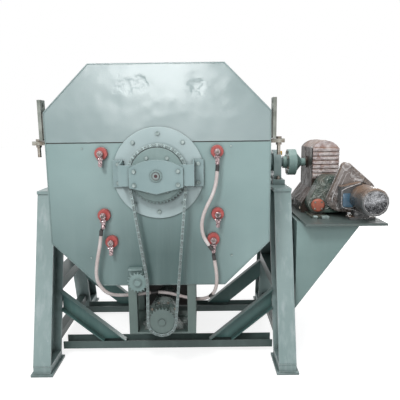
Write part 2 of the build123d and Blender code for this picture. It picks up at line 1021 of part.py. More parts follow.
# Cable routes, from lug to lug, chosen by hand
cable_y = clamp_front_y - cable_radius - cable_clearance
upper_route = [
    (323, cable_y, 1258),
    (320, cable_y, 1212),
    (309, cable_y - 4, 1162),
    (290, cable_y - 7, 1112),
    (264, cable_y - 9, 1064),
    (244, cable_y - 9, 1014),
    (235, cable_y - 7, 962),
    (240, cable_y - 4, 912),
    (254, cable_y, 874),
    (275, cable_y, 844),
]
lower_route = [
    (-325, cable_y, 905),
    (-331, cable_y, 858),
    (-345, cable_y - 2, 792),
    (-359, cable_y, 724),
    (-364, cable_y + 6, 658),
    (-350, -688, 605),
    (-315, -665, 552),
    (-268, -618, 521),
    (-214, -573, 505),
    (-155, -552, 501),
    (-95, -548, 507),
    (-35, -548, 512),
    (25, -549, 508),
    (80, -550, 494),
    (135, -552, 478),
    (188, -556, 470),
    (238, -580, 479),
    (276, -622, 507),
    (303, -662, 548),
    (316, -690, 600),
    (318, -703, 655),
    (313, cable_y, 710),
    (305, cable_y, 758),
]


def cable_path_radii(route):
    radii = []
    for before, corner, after in zip(route, route[1:], route[2:]):
        first = Vector(*corner) - Vector(*before)
        second = Vector(*after) - Vector(*corner)
        turn = math.radians(first.get_angle(second))
        radii.append(cable_bend_share * min(first.length, second.length) / math.tan(turn / 2))
    return radii


def cable(route, name):
    radii = cable_path_radii(route)
    with BuildPart() as tube:
        with BuildLine() as path:
            FilletPolyline(*route, radius=radii)
        start = Vector(*route[1]) - Vector(*route[0])
        with BuildSketch(Plane(origin=route[0], z_dir=start)):
            Circle(cable_radius)
        sweep()
    length = path.wire().length
    ideal = math.pi * cable_radius**2 * length
    print(name, "length", round(length), "volume share", round(tube.part.volume / ideal, 4))
    print(name, "radii", [round(r) for r in radii])
    return tube.part


with BuildPart() as upper_cable:
    add(cable(upper_route, "upper_cable"))

with BuildPart() as lower_cable:
    add(cable(lower_route, "lower_cable"))


# Lugs: a sleeve that carries on from the cable's end and a flat tongue under the screw
def cable_lug(end, inner, screw, level):
    away = (Vector(*end) - Vector(*inner)).normalized()
    tip = Vector(*end) + away * lug_length
    back_y = clamp_front_y - level * lug_tongue_pitch
    with BuildPart() as lug:
        add(rod(lug_radius, end, tuple(tip)))
        with BuildSketch(facing_front(back_y)):
            start = (tip.X, tip.Z)
            SlotCenterPoint(
                ((start[0] + screw[0]) / 2, (start[1] + screw[1]) / 2),
                screw,
                lug_tongue_width,
            )
            with Locations(screw):
                Circle(clamp_screw_shank, mode=Mode.SUBTRACT)
        extrude(amount=lug_tongue_thick)
    return lug.part


with BuildPart() as cable_lugs:
    add(cable_lug(upper_route[0], upper_route[1], screw_places[3], 0))
    add(cable_lug(upper_route[-1], upper_route[-2], screw_places[5], 0))
    add(cable_lug(lower_route[0], lower_route[1], screw_places[1], 0))
    add(cable_lug(lower_route[-1], lower_route[-2], screw_places[5], 1))


# Stand: leaning I-section legs with shoes and foot plates
def leg(side, end):
    with BuildPart() as beam:
        bands = (
            (0, leg_plate, leg_width),
            (leg_plate, leg_depth - leg_plate, leg_plate),
            (leg_depth - leg_plate, leg_depth, leg_width),
        )
        for near, far, width in bands:
            with BuildSketch(Plane.YZ.offset(side * leg_x)):
                with BuildLine():
                    Polyline(
                        (end * (foot_front - near), leg_bottom),
                        (end * (foot_front - far), leg_bottom),
                        (end * (top_front - far), leg_top),
                        (end * (top_front - near), leg_top),
                        close=True,
                    )
                make_face()
            extrude(amount=width / 2, both=True)
        shoe_y = end * (foot_front - leg_depth / 2)
        with BuildSketch(Plane.XY.offset(leg_bottom)):
            with Locations((side * leg_x, shoe_y)):
                Rectangle(leg_width, leg_depth)
        extrude(amount=-shoe_height)
        with BuildSketch(Plane.XY.offset(foot_plate)):
            with Locations((side * leg_x, shoe_y)):
                Rectangle(leg_width + 2 * foot_margin, leg_depth + 2 * foot_margin)
        extrude(amount=-foot_plate)
        with Locations((side * (leg_x + foot_hole_offset), shoe_y, leg_bottom)):
            Hole(foot_hole_radius, depth=leg_bottom)
    return beam.part


with BuildPart() as left_front_leg:
    add(leg(-1, -1))

with BuildPart() as left_rear_leg:
    add(leg(-1, 1))

with BuildPart() as right_front_leg:
    add(leg(1, -1))

with BuildPart() as right_rear_leg:
    add(leg(1, 1))

with BuildPart() as top_plates:
    with BuildSketch(Plane.XY.offset(leg_top)):
        with Locations((-leg_x, 0), (leg_x, 0)):
            Rectangle(top_plate_width, 2 * (top_front + top_plate_margin))
    extrude(amount=top_plate_thick)


# Cross rails: channels lying open side up between the side frames
def cross_rail(end):
    middle = end * (rail_front - rail_width / 2)
    span = 2 * leg_x - leg_width
    with BuildPart() as rail:
        with BuildSketch(Plane.YZ.offset(-span / 2)):
            with Locations((middle, rail_bottom + rail_height / 2)):
                Rectangle(rail_width, rail_height)
            with Locations((middle, rail_bottom + rail_height / 2 + rail_plate)):
                Rectangle(rail_width - 2 * rail_plate, rail_height, mode=Mode.SUBTRACT)
        extrude(amount=span)
    return rail.part


with BuildPart() as front_cross_rail:
    add(cross_rail(-1))

with BuildPart() as rear_cross_rail:
    add(cross_rail(1))


# Side rails run fore and aft between the legs of one side frame
def leg_inner_y(height):
    # Distance from the trunnion plane to the inner flange of a leg at a height.
    return foot_front - leg_depth - leg_lean * (height - leg_bottom)


def side_rail(side, low, height, width):
    with BuildPart() as rail:
        with BuildSketch(Plane.YZ.offset(side * leg_x)):
            with BuildLine():
                Polyline(
                    (-leg_inner_y(low), low),
                    (leg_inner_y(low), low),
                    (leg_inner_y(low + height), low + height),
                    (-leg_inner_y(low + height), low + height),
                    close=True,
                )
            make_face()
        extrude(amount=width / 2, both=True)
    return rail.part


with BuildPart() as side_rails:
    for side in (-1, 1):
        add(side_rail(side, rail_bottom + rail_height, side_rail_height, side_rail_width))
        add(side_rail(side, mid_rail_bottom, mid_rail_height, leg_width))


# Braces: channels from each leg down to the cross rail, open side outwards
def brace(side, end):
    near_x = leg_x - leg_width / 2
    rail_top = rail_bottom + rail_height
    slope = math.atan2(brace_top - rail_top, brace_foot_reach)
    drop = brace_width / math.cos(slope)
    run = brace_width / math.sin(slope)
    plate_drop = brace_plate / math.cos(slope)
    plate_run = brace_plate / math.sin(slope)
    foot_x = near_x - brace_foot_reach
    hollow = brace_depth - brace_plate
    with BuildPart() as channel:
        with BuildSketch(facing_front(end * (rail_front - brace_depth / 2))):
            with BuildLine():
                Polyline(
                    (side * near_x, brace_top),
                    (side * foot_x, rail_top),
                    (side * (foot_x + run), rail_top),
                    (side * near_x, brace_top - drop),
                    close=True,
                )
            make_face()
        extrude(amount=brace_depth / 2, both=True)
        with BuildSketch(facing_front(end * (rail_front - hollow / 2))):
            with BuildLine():
                Polyline(
                    (side * near_x, brace_top - plate_drop),
                    (side * (foot_x + plate_run), rail_top),
                    (side * (foot_x + run - plate_run), rail_top),
                    (side * near_x, brace_top - drop + plate_drop),
                    close=True,
                )
            make_face()
        extrude(amount=hollow / 2, both=True, mode=Mode.SUBTRACT)
    return channel.part


with BuildPart() as braces:
    for side in (-1, 1):
        for end in (-1, 1):
            add(brace(side, end))


# Trunnions: plate on the casing side and shaft through the pillow block
shaft_end = block_x + block_width / 2 + trunnion_overhang


def trunnion(side):
    plate_x = half_width + trunnion_plate_thick
    with BuildPart() as piece:
        with BuildSketch(Plane.YZ.offset(side * (half_width + trunnion_plate_thick / 2))):
            with Locations((0, axis_height)):
                Rectangle(trunnion_plate_size, trunnion_plate_size)
        extrude(amount=trunnion_plate_thick / 2, both=True)
        start = (side * plate_x, 0, axis_height)
        add(rod(trunnion_radius, start, (side * shaft_end, 0, axis_height)))
        collar_end = block_x - block_width / 2 - collar_gap
        add(rod(collar_radius, start, (side * collar_end, 0, axis_height)))
    return piece.part


with BuildPart() as left_trunnion:
    add(trunnion(-1))

coupling_face = coupling_start + coupling_hub_length + coupling_plate
with BuildPart() as right_trunnion:
    add(trunnion(1))
    start = (shaft_end, 0, axis_height)
    add(rod(trunnion_end_radius, start, (coupling_face, 0, axis_height)))


def pillow_block(side):
    base_top = block_bottom + block_base_height
    with BuildPart() as block:
        with BuildSketch(Plane.XY.offset(block_bottom)):
            with Locations((side * block_x, 0)):
                Rectangle(block_base_width, block_base_length)
        extrude(amount=block_base_height)
        with BuildSketch(Plane.YZ.offset(side * block_x)):
            with Locations((0, axis_height)):
                Circle(block_radius)
            with BuildLine():
                Polyline(
                    (-block_radius, axis_height),
                    (-block_radius - block_flare, base_top),
                    (block_radius + block_flare, base_top),
                    (block_radius, axis_height),
                    close=True,
                )
            make_face()
        extrude(amount=block_width / 2, both=True)
        with BuildSketch(Plane.YZ.offset(side * block_x)):
            with Locations((0, axis_height)):
                Circle(trunnion_radius + running_gap)
        extrude(amount=block_base_width, both=True, mode=Mode.SUBTRACT)
        outer_face = block_x + block_width / 2
        seat = (side * (outer_face - cup_seat), 0, axis_height + cup_stem_rise)
        mouth = (side * (outer_face + cup_seat), 0, axis_height + cup_stem_rise)
        add(rod(cup_stem_radius, seat, mouth), mode=Mode.SUBTRACT)
    return block.part


with BuildPart() as pillow_blocks:
    add(pillow_block(-1))
    add(pillow_block(1))

with BuildPart() as pillow_bolts:
    for side in (-1, 1):
        for end in (-1, 1):
            place = (
                side * block_x,
                end * block_bolt_spacing / 2,
                block_bottom + block_base_height,
            )
            add(hex_bolt(place, (0, 0, 1), block_nut_size, block_nut_height))
            bolt_top = (place[0], place[1], place[2] + block_bolt_proud)
            add(rod(block_bolt_radius, place, bolt_top))

with BuildPart() as grease_cups:
    for side in (-1, 1):
        outer_face = block_x + block_width / 2
        stem_z = axis_height + cup_stem_rise
        seat = (side * (outer_face - cup_seat), 0, stem_z)
        elbow = (side * (outer_face + cup_stem_reach), 0, stem_z)
        add(rod(cup_stem_radius, seat, elbow))
        cup_bottom = stem_z - cup_below_stem
        add(rod(cup_radius, (elbow[0], 0, cup_bottom), (elbow[0], 0, cup_bottom + cup_length)))

# Flanged coupling between the right trunnion and the gearbox
flange_x = coupling_start + coupling_hub_length
face_x = coupling_face
outer_x = face_x + coupling_plate


def ring_x(start_x, outer, inner, length):
    with BuildPart() as ring:
        with BuildSketch(Plane.YZ.offset(start_x)):
            with Locations((0, axis_height)):
                Circle(outer)
                Circle(inner, mode=Mode.SUBTRACT)
        extrude(amount=length)
    return ring.part


with BuildPart() as coupling_inner:
    add(ring_x(coupling_start, coupling_hub_radius, trunnion_end_radius, coupling_hub_length))
    add(ring_x(flange_x, coupling_radius, trunnion_end_radius, coupling_plate))

cone_end_x = outer_x + coupling_cone
with BuildPart() as coupling_outer:
    add(ring_x(face_x, coupling_radius, output_radius, coupling_plate))
    with BuildSketch(Plane.YZ.offset(outer_x)):
        with Locations((0, axis_height)):
            Circle(coupling_cone_radius)
    with BuildSketch(Plane.YZ.offset(cone_end_x)):
        with Locations((0, axis_height)):
            Circle(coupling_tail_radius)
    loft()
    tail_start = (cone_end_x, 0, axis_height)
    tail_end = (cone_end_x + coupling_tail, 0, axis_height)
    add(rod(coupling_tail_radius, tail_start, tail_end))
    add(rod(output_radius, (face_x, 0, axis_height), tail_end), mode=Mode.SUBTRACT)

with BuildPart() as coupling_bolt_set:
    for i in range(coupling_bolts):
        angle = math.radians(coupling_bolt_turn + 360 / coupling_bolts * i)
        y = coupling_bolt_circle * math.cos(angle)
        z = axis_height + coupling_bolt_circle * math.sin(angle)
        add(hex_bolt((flange_x, y, z), (-1, 0, 0), coupling_bolt_size, coupling_bolt_head))

# Worm wheel and output shaft, turning with the furnace
wheel_x = box_left + box_width / 2
shaft_tip_x = box_left + box_width - box_wall
with BuildPart() as worm_wheel:
    add(rod(output_radius, (face_x, 0, axis_height), (shaft_tip_x, 0, axis_height)))
    add(ring_x(wheel_x - wheel_width / 2, wheel_radius, output_radius, wheel_width))

# Worm shaft under the wheel, with journals in the end walls
worm_z = axis_height - worm_drop
worm_half = box_length / 2 - box_wall - worm_setback
journal_half = box_length / 2 - box_wall
with BuildPart() as worm_shaft:
    add(rod(worm_radius, (wheel_x, -worm_half, worm_z), (wheel_x, worm_half, worm_z)))
    journal_end = journal_half - worm_end_gap
    add(rod(worm_journal, (wheel_x, -journal_end, worm_z), (wheel_x, journal_end, worm_z)))

# Gearbox housing: ribbed upper body on a flared foot, hollow for wheel and worm
box_right = box_left + box_width
box_top = axis_height + box_above
box_side_top = axis_height + box_side_above
box_shoulder = axis_height - box_shoulder_drop
box_flare_height = axis_height - box_flare_drop
with BuildPart() as gearbox_housing:
    with BuildSketch(facing_front(box_length / 2)):
        with BuildLine():
            ThreePointArc(
                (box_left, box_side_top),
                (wheel_x, box_top),
                (box_right, box_side_top),
            )
            Polyline(
                (box_right, box_side_top),
                (box_right, box_shoulder),
                (box_left, box_shoulder),
                (box_left, box_side_top),
            )
        make_face()
    extrude(amount=box_length)
    with BuildSketch(facing_front(base_length / 2)):
        with BuildLine():
            Polyline(
                (box_left, box_shoulder),
                (box_left - box_flare, box_flare_height),
                (box_left - box_flare, platform_top),
                (box_right + box_flare, platform_top),
                (box_right + box_flare, box_flare_height),
                (box_right, box_shoulder),
                close=True,
            )
        make_face()
    extrude(amount=base_length)
    for end in (-1, 1):
        for i in range(rib_count):
            rib_z = axis_height + rib_above - rib_pitch * i
            with BuildSketch(facing_front(end * box_length / 2)):
                with Locations((wheel_x, rib_z)):
                    Rectangle(box_width - 2 * rib_inset, rib_height)
            extrude(amount=-end * rib_proud)
    add(ring_x(box_left - seal_length, seal_radius, output_radius, seal_length))
    with BuildSketch(Plane.YZ.offset(wheel_x)):
        with Locations((0, axis_height)):
            Circle(wheel_radius + wheel_gap)
    extrude(amount=wheel_width / 2 + wheel_gap, both=True, mode=Mode.SUBTRACT)
    bore_start = (box_left - seal_length, 0, axis_height)
    bore_end = (shaft_tip_x + worm_end_gap, 0, axis_height)
    add(rod(output_radius + running_gap, bore_start, bore_end), mode=Mode.SUBTRACT)
    trough = worm_half + worm_gap
    trough_ends = [(wheel_x, end * trough, worm_z) for end in (-1, 1)]
    add(rod(worm_radius + worm_gap, *trough_ends), mode=Mode.SUBTRACT)
    journal_ends = [(wheel_x, end * journal_half, worm_z) for end in (-1, 1)]
    add(rod(worm_journal + running_gap, *journal_ends), mode=Mode.SUBTRACT)

# First stage case in front of the housing, with a riser and a foot on the platform
stage_back = -base_length / 2
stage_front = stage_back - stage_depth
stage_cap_z = axis_height - stage_cap_drop
tilt_motor_z = axis_height - tilt_motor_drop
with BuildPart() as first_stage_case:
    with BuildSketch(facing_front(stage_back)):
        with Locations((wheel_x, worm_z)):
            Circle(stage_worm_radius)
        with Locations((stage_cap_x, stage_cap_z)):
            Circle(stage_cap_radius)
        with Locations((tilt_motor_x, tilt_motor_z)):
            Circle(stage_motor_radius)
        make_hull()
    extrude(amount=stage_depth)
    fillet(first_stage_case.faces().sort_by(Axis.Y)[0].edges(), radius=stage_round)
    with BuildSketch(Plane.XY.offset(platform_top)):
        with Locations((stage_cap_x, (stage_back + stage_front) / 2)):
            Rectangle(stage_riser_width, stage_depth - 2 * stage_riser_inset)
    extrude(amount=stage_cap_z - platform_top)
    with BuildSketch(Plane.XY.offset(platform_top)):
        with Locations((stage_cap_x, (stage_back - stage_foot_front) / 2)):
            Rectangle(stage_foot_width, stage_back + stage_foot_front)
    extrude(amount=stage_foot_thick)

with BuildPart() as stage_cap:
    with BuildSketch(facing_front(stage_front)):
        with Locations((stage_cap_x, stage_cap_z)):
            Circle(cap_radius)
    extrude(amount=cap_thick)
    chamfer(stage_cap.faces().sort_by(Axis.Y)[0].edges(), length=cap_chamfer)

# Tilt motor: bell with one raised corner, barrel, terminal box at its side and foot
motor_tip = stage_front - tilt_motor_length
with BuildPart() as tilt_motor:
    with BuildSketch(facing_front(stage_front)):
        with Locations((tilt_motor_x, tilt_motor_z)):
            Circle(bell_radius)
        with Locations((tilt_motor_x + bell_corner[0], tilt_motor_z + bell_corner[1])):
            Circle(bell_corner_radius)
        with Locations((tilt_motor_x + bell_foot[0], tilt_motor_z + bell_foot[1])):
            Circle(bell_foot_radius)
        make_hull()
    extrude(amount=bell_thick)
    with BuildSketch(facing_front(stage_front)):
        with Locations((tilt_motor_x, tilt_motor_z)):
            Circle(tilt_motor_radius)
    extrude(amount=tilt_motor_length)
    fillet(tilt_motor.faces().sort_by(Axis.Y)[0].edges(), radius=tilt_motor_round)
    with BuildSketch(facing_front(stage_front - terminal_box_setback)):
        with Locations((tilt_motor_x, tilt_motor_z)):
            Polygon(*terminal_box_outline, align=None)
    extrude(amount=terminal_box_length)
    foot_y = motor_tip + tilt_foot_setback + tilt_foot_length / 2
    with BuildSketch(Plane.XY.offset(platform_top)):
        with Locations((tilt_motor_x, foot_y)):
            Rectangle(tilt_foot_width, tilt_foot_length)
    extrude(amount=tilt_foot_thick)
    with BuildSketch(Plane.XY.offset(platform_top)):
        with Locations((tilt_motor_x, foot_y)):
            Rectangle(tilt_stem_width, tilt_stem_length)
    extrude(amount=tilt_motor_z - platform_top)

# Platform and its triangular box bracket beside the right legs
with BuildPart() as drive_platform:
    with BuildSketch(Plane.XY.offset(platform_top)):
        with Locations(
            (
                platform_left + platform_width / 2,
                (platform_back - platform_front) / 2,
            )
        ):
            Rectangle(platform_width, platform_front + platform_back)
    extrude(amount=-platform_thick)

bracket_top = platform_top - platform_thick
bracket_tip = bracket_top - bracket_height
with BuildPart() as drive_bracket:
    with BuildSketch(facing_front(bracket_back)):
        with BuildLine():
            Polyline(
                (bracket_left, bracket_top),
                (bracket_right, bracket_top),
                (bracket_left, bracket_tip),
                close=True,
            )
        make_face()
    extrude(amount=bracket_back + bracket_front)
    with BuildSketch(facing_front(bracket_back - bracket_sheet)):
        with BuildLine():
            Polyline(
                (bracket_left, bracket_top),
                (bracket_right, bracket_top),
                (bracket_left, bracket_tip),
                close=True,
            )
        make_face()
        offset(amount=-bracket_sheet, kind=Kind.INTERSECTION, mode=Mode.REPLACE)
    extrude(amount=bracket_back + bracket_front - 2 * bracket_sheet, mode=Mode.SUBTRACT)
    pad_x = leg_x + leg_width / 2
    pad_high = bracket_top - bracket_pad_drop
    pad_low = pad_high - bracket_pad_height
    for end in (-1, 1):
        with BuildSketch(Plane.YZ.offset((pad_x + bracket_left) / 2)):
            with BuildLine():
                Polyline(
                    (end * leg_inner_y(pad_low), pad_low),
                    (end * (leg_inner_y(pad_low) + bracket_pad_width), pad_low),
                    (end * (leg_inner_y(pad_high) + bracket_pad_width), pad_high),
                    (end * leg_inner_y(pad_high), pad_high),
                    close=True,
                )
            make_face()
        extrude(amount=(bracket_left - pad_x) / 2, both=True)


# Lifting lugs: upright bars with a spacer against the upper casing sides
def lifting_lug(side, end):
    lug_y = end * (case_depth / 2 - lug_bar_depth / 2)
    spacer_high = case_above - case_chamfer
    inner_x = side * half_width
    with BuildPart() as lug:
        with BuildSketch(Plane.YZ.offset(inner_x + side * lug_spacer)):
            with Locations((lug_y, axis_height + (lug_bar_low + lug_bar_high) / 2)):
                Rectangle(lug_bar_depth, lug_bar_high - lug_bar_low)
            with Locations((lug_y, axis_height + lug_bar_high - lug_hole_inset)):
                Circle(lug_hole_radius, mode=Mode.SUBTRACT)
        extrude(amount=side * lug_bar_thick)
        with BuildSketch(Plane.YZ.offset(inner_x)):
            with Locations((lug_y, axis_height + (lug_bar_low + spacer_high) / 2)):
                Rectangle(
                    lug_bar_depth - 2 * lug_spacer_margin,
                    spacer_high - lug_bar_low - 2 * lug_spacer_margin,
                )
        extrude(amount=side * lug_spacer)
    return lug.part


with BuildPart() as lifting_lugs:
    for side in (-1, 1):
        for end in (-1, 1):
            add(lifting_lug(side, end))

# Split ears in pairs across the parting plane, and the bolts that clamp them
with BuildPart() as split_ears:
    for side in (-1, 1):
        for end in (-1, 1):
            for base in (split_z, split_z - ear_thick):
                with BuildSketch(Plane.XY.offset(base)):
                    with Locations((side * (half_width + ear_reach / 2), end * ear_y)):
                        Rectangle(ear_reach, ear_width)
                    with Locations(
                        (side * (half_width + ear_reach - ear_bolt_inset), end * ear_y)
                    ):
                        Circle(ear_bolt_radius, mode=Mode.SUBTRACT)
                extrude(amount=ear_thick)

with BuildPart() as split_bolts:
    for side in (-1, 1):
        for end in (-1, 1):
            x = side * (half_width + ear_reach - ear_bolt_inset)
            y = end * ear_y
            bolt_low = (x, y, split_z - ear_bolt_hang)
            add(rod(ear_bolt_radius, bolt_low, (x, y, split_z + ear_thick)))
            add(hex_bolt((x, y, split_z + ear_thick), (0, 0, 1), ear_nut_radius, ear_nut_height))
            nut_place = (x, y, split_z - ear_thick)
            add(hex_bolt(nut_place, (0, 0, -1), ear_nut_radius, ear_nut_height))

# Door at the mouth: disc, ear, hinge straps and knuckles
door_front = neck_end_y + door_gap
door_outer = door_front + door_thick
hinge_y = door_outer + strap_thick / 2
with BuildPart() as door:
    with BuildSketch(facing_front(door_outer)):
        with Locations((0, axis_height)):
            Circle(door_radius)
        with Locations((door_ear / 2, axis_height)):
            Rectangle(door_ear, door_ear_height)
        with Locations((latch_x, axis_height)):
            Circle(spindle_radius + running_gap, mode=Mode.SUBTRACT)
    extrude(amount=door_thick)
    for rise in (-hinge_rise, hinge_rise):
        with BuildSketch(facing_front(door_outer + strap_thick)):
            with Locations(((hinge_x + strap_end) / 2, axis_height + rise)):
                Rectangle(strap_end - hinge_x, strap_width)
        extrude(amount=strap_thick)
        with BuildSketch(Plane.XY.offset(axis_height + rise)):
            with Locations((hinge_x, hinge_y)):
                Circle(knuckle_radius)
        extrude(amount=knuckle_height / 2, both=True)
        with BuildSketch(Plane.XY.offset(axis_height + rise)):
            with Locations((hinge_x, hinge_y)):
                Circle(hinge_pin_radius + running_gap)
        extrude(amount=knuckle_height / 2, both=True, mode=Mode.SUBTRACT)

    low_end = (pull_x, door_outer, axis_height - pull_height / 2)
    high_end = (pull_x, door_outer, axis_height + pull_height / 2)
    with BuildLine():
        FilletPolyline(
            low_end,
            (pull_x, door_outer + pull_stand_off, low_end[2]),
            (pull_x, door_outer + pull_stand_off, high_end[2]),
            high_end,
            radius=pull_bend,
        )
    with BuildSketch(Plane(origin=low_end, z_dir=(0, 1, 0))):
        Circle(pull_radius)
    sweep()

with BuildPart() as door_plug:
    with BuildSketch(facing_front(door_front)):
        with Locations((0, axis_height)):
            Circle(plug_radius)
    extrude(amount=plug_length, taper=plug_taper)

# Door latch: handle outside, spindle through the ear, tongue inside
with BuildPart() as door_latch:
    handle_y = door_outer + handle_gap
    tongue_y = door_front - tongue_gap
    spindle_start = (latch_x, tongue_y - latch_thick, axis_height)
    add(rod(spindle_radius, spindle_start, (latch_x, handle_y + latch_thick, axis_height)))
    with BuildSketch(facing_front(handle_y + latch_thick)):
        with Locations((latch_x, axis_height + latch_handle / 2)):
            SlotOverall(latch_handle + latch_bar, latch_bar, rotation=90)
    extrude(amount=latch_thick)
    with BuildSketch(facing_front(tongue_y)):
        with Locations((latch_x, axis_height - latch_tongue / 2)):
            SlotOverall(latch_tongue + latch_bar, latch_bar, rotation=90)
    extrude(amount=latch_thick)

# Support rollers and their axles under the neck tyre
support_reach = tyre_radius + support_radius + support_play
support_y = tyre_back - tyre_width / 2
support_places = []
for side in (-1, 1):
    support_places.append(
        (
            side * support_reach * math.sin(math.radians(support_angle)),
            axis_height - support_reach * math.cos(math.radians(support_angle)),
        )
    )


def support_axle(place):
    x, z = place
    washer_y = support_y + support_width / 2 + axle_play
    with BuildPart() as axle:
        add(rod(support_pad_radius, (x, back_y, z), (x, back_y + support_pad_thick, z)))
        add(rod(support_pin_radius, (x, back_y, z), (x, washer_y + support_washer_thick, z)))
        add(rod(support_washer_radius, (x, washer_y, z), (x, washer_y + support_washer_thick, z)))
        boss_end = (x, support_y - support_width / 2 - axle_play, z)
        add(rod(support_boss_radius, (x, back_y, z), boss_end))
    return axle.part


# Rear brackets: hinge lugs with pins, latch keeper and roller axles
keeper_front = door_front - keeper_setback
with BuildPart() as rear_brackets:
    for rise in (-hinge_rise, hinge_rise):
        lug_top = axis_height + rise - knuckle_height / 2 - hinge_play
        with BuildSketch(Plane.XY.offset(lug_top)):
            with Locations((hinge_x, (back_y + hinge_y + knuckle_radius) / 2)):
                Rectangle(hinge_lug_width, hinge_y + knuckle_radius - back_y)
        extrude(amount=-hinge_lug_thick)
        pin_top = axis_height + rise + knuckle_height / 2 + hinge_pin_proud
        add(rod(hinge_pin_radius, (hinge_x, hinge_y, lug_top), (hinge_x, hinge_y, pin_top)))
    with BuildSketch(Plane.XY.offset(axis_height)):
        with BuildLine():
            Polyline(
                (keeper_outer, back_y),
                (keeper_outer, keeper_front + keeper_lip),
                (keeper_inner, keeper_front + keeper_lip),
                (keeper_inner, keeper_front),
                (keeper_outer - keeper_post, keeper_front),
                (keeper_outer - keeper_post, back_y),
                close=True,
            )
        make_face()
    extrude(amount=keeper_width / 2, both=True)
    add(support_axle(support_places[0]))
    add(support_axle(support_places[1]))


def support_roller(place):
    with BuildPart() as roller:
        with BuildSketch(facing_front(support_y)):
            with Locations(place):
                Circle(support_radius)
                Circle(support_pin_radius + running_gap, mode=Mode.SUBTRACT)
        extrude(amount=support_width / 2, both=True)
    return roller.part


with BuildPart() as left_roller:
    add(support_roller(support_places[0]))

with BuildPart() as right_roller:
    add(support_roller(support_places[1]))

pieces = {
    "lower_casing": lower_casing,
    "upper_casing": upper_casing,
    "lower_lining": lower_lining,
    "upper_lining": upper_lining,
    "heating_elements": heating_elements,
    "drum": drum,
    "end_flange": end_flange,
    "bearing_brackets": bearing_brackets,
    "bearing_plate": bearing_plate,
    "front_bearing": front_bearing,
    "front_bolts": front_bolts,
    "drive_chain": drive_chain,
    "drive_sprocket": drive_sprocket,
    "sprocket_hub": sprocket_hub,
    "hub_bolts": hub_bolts,
    "motor_sprocket": motor_sprocket,
    "idler_sprocket": idler_sprocket,
    "idler_bracket": idler_bracket,
    "cradle_posts": cradle_posts,
    "cradle_floor": cradle_floor_plate,
    "drum_motor": drum_motor,
    "terminal_discs": terminal_discs,
    "terminal_clamps": terminal_clamps,
    "upper_cable": upper_cable,
    "lower_cable": lower_cable,
    "cable_lugs": cable_lugs,
    "left_front_leg": left_front_leg,
    "left_rear_leg": left_rear_leg,
    "right_front_leg": right_front_leg,
    "right_rear_leg": right_rear_leg,
    "top_plates": top_plates,
    "front_cross_rail": front_cross_rail,
    "rear_cross_rail": rear_cross_rail,
    "side_rails": side_rails,
    "braces": braces,
    "left_trunnion": left_trunnion,
    "right_trunnion": right_trunnion,
    "pillow_blocks": pillow_blocks,
    "pillow_bolts": pillow_bolts,
    "grease_cups": grease_cups,
    "coupling_inner": coupling_inner,
    "coupling_outer": coupling_outer,
    "coupling_bolts": coupling_bolt_set,
    "worm_wheel": worm_wheel,
    "worm_shaft": worm_shaft,
    "gearbox_housing": gearbox_housing,
    "first_stage_case": first_stage_case,
    "stage_cap": stage_cap,
    "tilt_motor": tilt_motor,
    "drive_platform": drive_platform,
    "drive_bracket": drive_bracket,
    "lifting_lugs": lifting_lugs,
    "split_ears": split_ears,
    "split_bolts": split_bolts,
    "door": door,
    "door_plug": door_plug,
    "door_latch": door_latch,
    "rear_brackets": rear_brackets,
    "left_roller": left_roller,
    "right_roller": right_roller,
}
for name, piece in pieces.items():
    piece.part.label = name
    export_step(piece.part, f"parts/{name}.step")
print(len(pieces), "nodes")
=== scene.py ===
import bpy
import bmesh
import math
from mathutils import Matrix, Vector, noise


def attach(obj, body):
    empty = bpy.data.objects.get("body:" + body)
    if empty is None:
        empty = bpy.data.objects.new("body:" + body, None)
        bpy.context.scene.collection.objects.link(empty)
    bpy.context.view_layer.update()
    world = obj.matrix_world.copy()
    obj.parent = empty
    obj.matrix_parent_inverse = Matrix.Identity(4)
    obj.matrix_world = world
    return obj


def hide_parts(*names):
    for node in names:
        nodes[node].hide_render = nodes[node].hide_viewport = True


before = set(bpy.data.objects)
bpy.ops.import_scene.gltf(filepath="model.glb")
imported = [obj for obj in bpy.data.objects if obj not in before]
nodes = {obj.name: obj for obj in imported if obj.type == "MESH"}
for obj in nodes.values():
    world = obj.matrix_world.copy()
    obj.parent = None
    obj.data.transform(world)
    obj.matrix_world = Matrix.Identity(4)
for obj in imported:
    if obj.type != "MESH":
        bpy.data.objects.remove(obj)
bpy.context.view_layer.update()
axisHeight = 1.245  # of the drum and of the trunnions

# Camera where the photographer stood, in metres and degrees
cameraSetup = {
    "place": (0.2378, -3.088, 1.4939),
    "yaw": -0.2345,
    "pitch": 9.398,
    "roll": 0.7045,
    "lens": 39.64,
    "sensor": 36.0,
    "farthest": 60,
}


def addCamera():
    yaw = math.radians(cameraSetup["yaw"])
    pitch = math.radians(cameraSetup["pitch"])
    roll = math.radians(cameraSetup["roll"])
    ahead = Vector((math.sin(yaw) * math.cos(pitch), math.cos(yaw) * math.cos(pitch), -math.sin(pitch)))
    level = Vector((math.cos(yaw), -math.sin(yaw), 0))
    upright = level.cross(ahead)
    right = level * math.cos(roll) - upright * math.sin(roll)
    up = upright * math.cos(roll) + level * math.sin(roll)
    data = bpy.data.cameras.new("photoCamera")
    data.lens = cameraSetup["lens"]
    data.sensor_width = cameraSetup["sensor"]
    data.clip_end = cameraSetup["farthest"]
    camera = bpy.data.objects.new("photoCamera", data)
    bpy.context.scene.collection.objects.link(camera)
    turn = Matrix((right, up, -ahead)).transposed()
    camera.matrix_world = Matrix.Translation(cameraSetup["place"]) @ turn.to_4x4()
    bpy.context.scene.camera = camera


addCamera()
bpy.context.scene.view_settings.view_transform = "Standard"
print("camera placed")


# Small helpers for shader nodes
def rgb(red, green, blue):
    return (red, green, blue, 1)


def newMaterial(name):
    material = bpy.data.materials.new(name)
    material.use_nodes = True
    tree = material.node_tree
    return material, tree, tree.nodes["Principled BSDF"]


